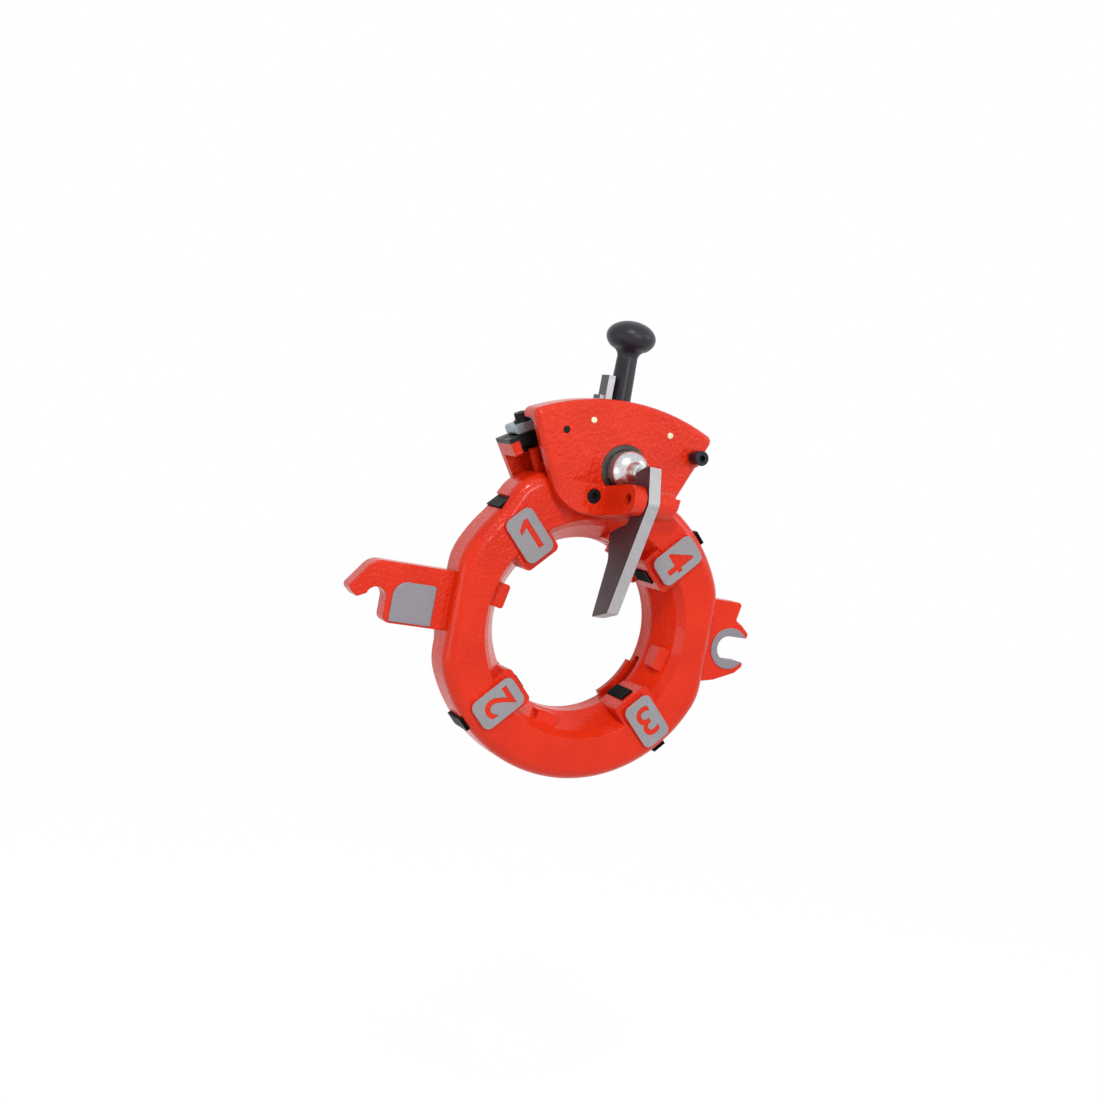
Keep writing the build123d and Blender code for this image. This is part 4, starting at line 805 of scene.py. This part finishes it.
@dataclass
class NumberPlate:
    """Milled face of one pad with its digit sunk to the paint."""

    digit: str
    angle: float
    middle: float = 82.0 * MM
    length: float = 35.4 * MM
    width: float = 22.7 * MM
    corner: float = 5.3 * MM
    corner_steps: int = 7
    rise: float = 0.45 * MM
    sink: float = 0.10 * MM
    edge_break: float = 0.12 * MM
    digit_height: float = 22.5 * MM
    boldness: float = 0.014
    cut_depth: float = 2.0 * MM
    weld: float = 0.02 * MM

    def build(self) -> bpy.types.Object:
        """Build the plate with its digit cut through.

        Returns:
            The finished plate in its place on the pad.
        """
        shape = bmesh.new()
        bmesh.ops.create_grid(shape, x_segments=1, y_segments=1, size=0.5)
        bmesh.ops.scale(shape, vec=(self.width, self.length, 1.0), verts=shape.verts)
        bmesh.ops.bevel(
            shape,
            geom=shape.verts[:],
            offset=self.corner,
            segments=self.corner_steps,
            profile=0.5,
            affect="VERTICES",
            material=-1,
        )
        top = self._raise(shape, self.rise + self.sink)
        bmesh.ops.translate(shape, vec=(0.0, 0.0, -self.sink), verts=shape.verts)
        rim = [edge for edge in shape.edges if all(vert in top for vert in edge.verts)]
        bmesh.ops.bevel(
            shape,
            geom=rim,
            offset=self.edge_break,
            segments=1,
            profile=0.5,
            affect="EDGES",
            material=-1,
        )
        bmesh.ops.recalc_face_normals(shape, faces=shape.faces)
        name = f"number_plate_{self.digit}"
        plate = new_object(name, new_mesh(name, shape))
        self._cut(plate)
        plate.data.transform(self._place())
        return plate

    @staticmethod
    def _raise(shape: bmesh.types.BMesh, height: float) -> list[bmesh.types.BMVert]:
        """Extrude all faces upwards.

        Args:
            shape: The flat shape.
            height: How far its faces rise.

        Returns:
            The vertices of the raised faces.
        """
        grown = bmesh.ops.extrude_face_region(shape, geom=shape.faces[:])
        top = [item for item in grown["geom"] if isinstance(item, bmesh.types.BMVert)]
        bmesh.ops.translate(shape, vec=(0.0, 0.0, height), verts=top)
        return top

    def _cut(self, plate: bpy.types.Object) -> None:
        """Cut the digit through the plate.

        Args:
            plate: The plate, still flat at the origin.
        """
        cutter_mesh = self._straight_one() if self.digit == "1" else self._written()
        low, high = self._box(cutter_mesh)
        scale = self.digit_height / (high.y - low.y)
        centre = (low + high) / 2
        centre.z = 0.0
        size = Matrix.Diagonal((scale, scale, 1.0, 1.0))
        cutter_mesh.transform(size @ Matrix.Translation(-centre))
        joined = bmesh.new()
        joined.from_mesh(cutter_mesh)
        bmesh.ops.remove_doubles(joined, verts=joined.verts, dist=self.weld)
        bmesh.ops.recalc_face_normals(joined, faces=joined.faces)
        joined.to_mesh(cutter_mesh)
        joined.free()
        cutter = new_object(f"digit_cutter_{self.digit}", cutter_mesh)
        cut = plate.modifiers.new("digit", "BOOLEAN")
        cut.operation = "DIFFERENCE"
        cut.solver = "EXACT"
        cut.use_self = True
        cut.object = cutter
        bpy.context.view_layer.update()
        result = plate.evaluated_get(bpy.context.evaluated_depsgraph_get())
        cut_mesh = bpy.data.meshes.new_from_object(result)
        plate.modifiers.clear()
        plate.data = cut_mesh
        bpy.data.objects.remove(cutter)

    def _written(self) -> bpy.types.Mesh:
        """Mesh of the digit in bold writing."""
        curve = bpy.data.curves.new(f"digit_{self.digit}", "FONT")
        curve.body = self.digit
        curve.extrude = self.cut_depth
        curve.size = 1.0
        curve.offset = self.boldness
        writing = new_object(curve.name, curve)
        bpy.context.view_layer.update()
        mesh = bpy.data.meshes.new_from_object(writing)
        bpy.data.objects.remove(writing)
        return mesh

    def _straight_one(self) -> bpy.types.Mesh:
        """Mesh of a one with a plain stem and a slanted flag, one unit high."""
        stem_left, stem_right, stem_corner = 0.0, 0.18, 0.03
        flag_left, flag_low, flag_high, flag_foot = -0.24, 0.64, 0.80, 0.77
        outline = (
            (stem_left, 0.0),
            (stem_right, 0.0),
            (stem_right, 1.0),
            (stem_left + stem_corner, 1.0),
            (flag_left, flag_high),
            (flag_left, flag_low),
            (stem_left, flag_foot),
        )
        shape = bmesh.new()
        shape.faces.new([shape.verts.new((x, y, -self.cut_depth)) for x, y in outline])
        self._raise(shape, 2.0 * self.cut_depth)
        bmesh.ops.recalc_face_normals(shape, faces=shape.faces)
        return new_mesh("digit_1", shape)

    @staticmethod
    def _box(mesh: bpy.types.Mesh) -> tuple[Vector, Vector]:
        """Lowest and highest corner of a mesh."""
        low = Vector(min(vert.co[i] for vert in mesh.vertices) for i in range(3))
        high = Vector(max(vert.co[i] for vert in mesh.vertices) for i in range(3))
        return low, high

    def _place(self) -> Matrix:
        """Matrix from the flat plate to its pad, with the digit's top outwards."""
        turn = math.radians(self.angle)
        outward = Vector((math.cos(turn), 0.0, math.sin(turn)))
        normal = Vector((0.0, -1.0, 0.0))
        across = outward.cross(normal)
        basis = Matrix((across, outward, normal)).transposed().to_4x4()
        return Matrix.Translation(outward * self.middle) @ basis


@dataclass(frozen=True)
class CoilSpring:
    """Spring of the CAD as a piece of its own.

    keep is the share of its length that is left at its joint's limit; it is not used.
    """

    node: str
    body: str
    joint: str
    fixed_end: float
    keep: float
    weld: float = 0.001 * MM

    def build(self, dresser: Dresser) -> None:
        """Copy the spring, join its triangles and tie it to its body.

        Args:
            dresser: Gives the piece its finish.
        """
        shape = bmesh.new()
        shape.from_mesh(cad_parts[self.node].data)
        bmesh.ops.remove_doubles(shape, verts=shape.verts, dist=self.weld)
        bmesh.ops.recalc_face_normals(shape, faces=shape.faces)
        name = f"{self.node}_coil"
        coil = new_object(name, new_mesh(name, shape))
        dresser.paint(coil, dresser.finishes.zinc)
        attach(coil, self.body)
        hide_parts(self.node)
        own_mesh(coil)
        LOG.info("built %s", coil.name)


@dataclass
class HeadCasting:
    """Head casting with its number plates and the retaining ring."""

    dresser: Dresser
    pads: tuple[tuple[str, float], ...] = (
        ("1", 135.0),
        ("2", 225.0),
        ("3", 315.0),
        ("4", 45.0),
    )

    def build(self) -> None:
        """Dress the castings and lay the number plates on the pads."""
        finishes = self.dresser.finishes
        self.dresser.nodes(finishes.casting, "head_body")
        self.dresser.nodes(finishes.ring, "retaining_ring")
        self.dresser.nodes(finishes.black, "retaining_screws")
        for digit, angle in self.pads:
            plate = NumberPlate(digit, angle).build()
            self.dresser.paint(plate, finishes.pad_face)
            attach(plate, "head")
            LOG.info("built %s", plate.name)


@dataclass
class CoverGroup:
    """Front cover and what fastens it."""

    dresser: Dresser

    def build(self) -> None:
        """Dress the cover and its fasteners."""
        finishes = self.dresser.finishes
        self.dresser.nodes(finishes.cover, "front_cover")
        self.dresser.nodes(finishes.black, "cover_screws", "cover_dowel")
        self.dresser.nodes(finishes.cap, "cover_cap_screw")
        self.dresser.nodes(finishes.rivet, "cover_rivets")


@dataclass
class TriggerGroup:
    """Rocker lever, its pin and the plunger."""

    dresser: Dresser
    spring: CoilSpring = CoilSpring(
        "trigger_spring", "head", "plunger_slide", fixed_end=6.0 * MM, keep=0.756
    )

    def build(self) -> None:
        """Dress the trigger's parts."""
        finishes = self.dresser.finishes
        self.dresser.nodes(finishes.lever, "trigger_lever")
        self.dresser.nodes(finishes.black, "lever_pin")
        self.dresser.nodes(finishes.bush, "trigger_bush")
        self.dresser.nodes(finishes.zinc, "trigger_plunger", "plunger_nut")
        self.spring.build(self.dresser)


@dataclass
class CamGroup:
    """Cam plate, dies, throwout arm, grip and release pawl."""

    dresser: Dresser
    spring: CoilSpring = CoilSpring(
        "pawl_spring", "cam", "pawl_swing", fixed_end=30.0 * MM, keep=0.455
    )
    dies: tuple[str, ...] = ("die_1", "die_2", "die_3", "die_4")

    def build(self) -> None:
        """Dress the parts that open and close the dies."""
        finishes = self.dresser.finishes
        self.dresser.nodes(finishes.cam, "cam_plate")
        self.dresser.nodes(finishes.lever, "throwout_arm")
        self.dresser.nodes(finishes.black, "arm_bolts")
        self.dresser.nodes(finishes.grip, "hand_grip")
        self.dresser.nodes(finishes.pawl, "release_pawl")
        self.dresser.nodes(finishes.zinc, "pawl_pin")
        self.spring.build(self.dresser)
        self.dresser.nodes(finishes.die, *self.dies)


@dataclass
class StopGroup:
    """Size bar and the stop that sets the pipe size."""

    dresser: Dresser

    def build(self) -> None:
        """Dress the bar, the block and their screws."""
        finishes = self.dresser.finishes
        self.dresser.nodes(finishes.black, "size_bar", "size_bar_screws")
        self.dresser.nodes(finishes.black, "stop_clamp_screw", "stop_nut")
        self.dresser.nodes(finishes.block, "stop_block")


@dataclass
class Lamp:
    """One soft area lamp that looks at the object."""

    name: str
    place: Triple
    size: float
    watts: float

    def build(self, target: Vector) -> None:
        """Make the lamp and turn it to the target.

        Args:
            target: The point that the lamp looks at.
        """
        light = bpy.data.lights.new(self.name, "AREA")
        light.shape = "DISK"
        light.size = self.size
        light.energy = self.watts
        lamp = new_object(self.name, light)
        lamp.location = self.place
        view = target - Vector(self.place)
        lamp.rotation_euler = view.to_track_quat("-Z", "Y").to_euler()


@dataclass
class Studio:
    """Pale floor, world, lamps and the camera at the photograph's angle."""

    floor_height: float = -0.46
    floor_size: float = 14.0
    floor_tone: Colour = (0.80, 0.80, 0.80)
    floor_glow: float = 1.058
    glow_share: float = 0.9
    white: Colour = (1.0, 1.0, 1.0)
    world_fill: float = 0.45
    camera_place: Triple = (-0.489305, -0.963318, 0.098942)
    camera_turn: Triple = (87.34775, -10.69584, -24.44842)
    lens: float = 51.2605
    sensor: float = 36.0
    near_clip: float = 0.01
    lamp_target: Triple = (0.0, 0.0, 0.03)
    lamps: tuple[Lamp, ...] = (
        Lamp("key lamp", (-0.7, -1.3, 1.5), 0.4, 17.0),
        Lamp("front lamp", (0.2, -1.7, 0.5), 0.5, 7.0),
        Lamp("side lamp", (1.5, -0.9, 0.8), 0.8, 6.0),
        Lamp("low lamp", (-1.5, -0.3, -0.25), 0.8, 3.0),
    )

    def build(self) -> None:
        """Build the studio."""
        self._floor()
        self._world()
        for lamp in self.lamps:
            lamp.build(Vector(self.lamp_target))
        self._camera()
        bpy.context.scene.view_settings.view_transform = "Standard"
        LOG.info("built the studio")

    @staticmethod
    def _seen(sheet: NodeSheet) -> Socket:
        """One on camera, glossy and transmission rays."""
        path = sheet.add("ShaderNodeLightPath")
        seen = sheet.math("MAXIMUM", path.outputs["Is Camera Ray"], path.outputs["Is Glossy Ray"])
        return sheet.math("MAXIMUM", seen, path.outputs["Is Transmission Ray"])

    def _floor(self) -> None:
        """Lay the plain pale floor."""
        shape = bmesh.new()
        bmesh.ops.create_grid(shape, x_segments=1, y_segments=1, size=self.floor_size / 2)
        bmesh.ops.translate(shape, vec=(0.0, 0.0, self.floor_height), verts=shape.verts)
        floor = new_object("studio_floor", new_mesh("studio_floor", shape))
        floor.data.materials.append(self._floor_material())

    def _floor_material(self) -> bpy.types.Material:
        """Pale floor that is white where it is seen and still takes a shadow."""
        material = bpy.data.materials.new("pale floor")
        material.use_nodes = True
        sheet = NodeSheet(material.node_tree)
        sheet.tree.nodes.clear()
        diffuse = sheet.add("ShaderNodeBsdfDiffuse")
        sheet.fill(diffuse, {"Color": self.floor_tone})
        glow = sheet.add("ShaderNodeEmission")
        sheet.fill(glow, {"Color": self.white, "Strength": self.floor_glow})
        mix = sheet.add("ShaderNodeMixShader")
        share = sheet.times(self._seen(sheet), self.glow_share)
        for place, value in enumerate((share, diffuse.outputs[0], glow.outputs[0])):
            sheet.put(value, mix.inputs[place])
        sheet.put(mix.outputs[0], sheet.add("ShaderNodeOutputMaterial").inputs["Surface"])
        return material

    def _world(self) -> None:
        """White where it is seen, softer where it lights."""
        world = bpy.data.worlds.new("studio world")
        bpy.context.scene.world = world
        world.use_nodes = True
        sheet = NodeSheet(world.node_tree)
        strength = sheet.ramp(self._seen(sheet), (0.0, 1.0), (self.world_fill, 1.0))
        back = world.node_tree.nodes["Background"]
        sheet.fill(back, {"Color": self.white, "Strength": strength})

    def _camera(self) -> None:
        """Set the camera at the photograph's angle."""
        data = bpy.data.cameras.new("photo camera")
        data.lens = self.lens
        data.sensor_width = self.sensor
        data.sensor_fit = "HORIZONTAL"
        data.clip_start = self.near_clip
        camera = new_object("photo camera", data)
        camera.location = self.camera_place
        turn = [math.radians(angle) for angle in self.camera_turn]
        camera.rotation_euler = Euler(turn, "XYZ")
        bpy.context.scene.camera = camera


def main() -> None:
    """Build the studio and every sub-assembly in order."""
    logging.basicConfig(level=logging.INFO, format="%(name)s: %(message)s")
    Studio().build()
    dresser = Dresser(FinishSet())
    for group in (HeadCasting, CoverGroup, TriggerGroup, CamGroup, StopGroup):
        group(dresser).build()
        LOG.info("finished %s", group.__name__)


if __name__ == "__main__":
    main()
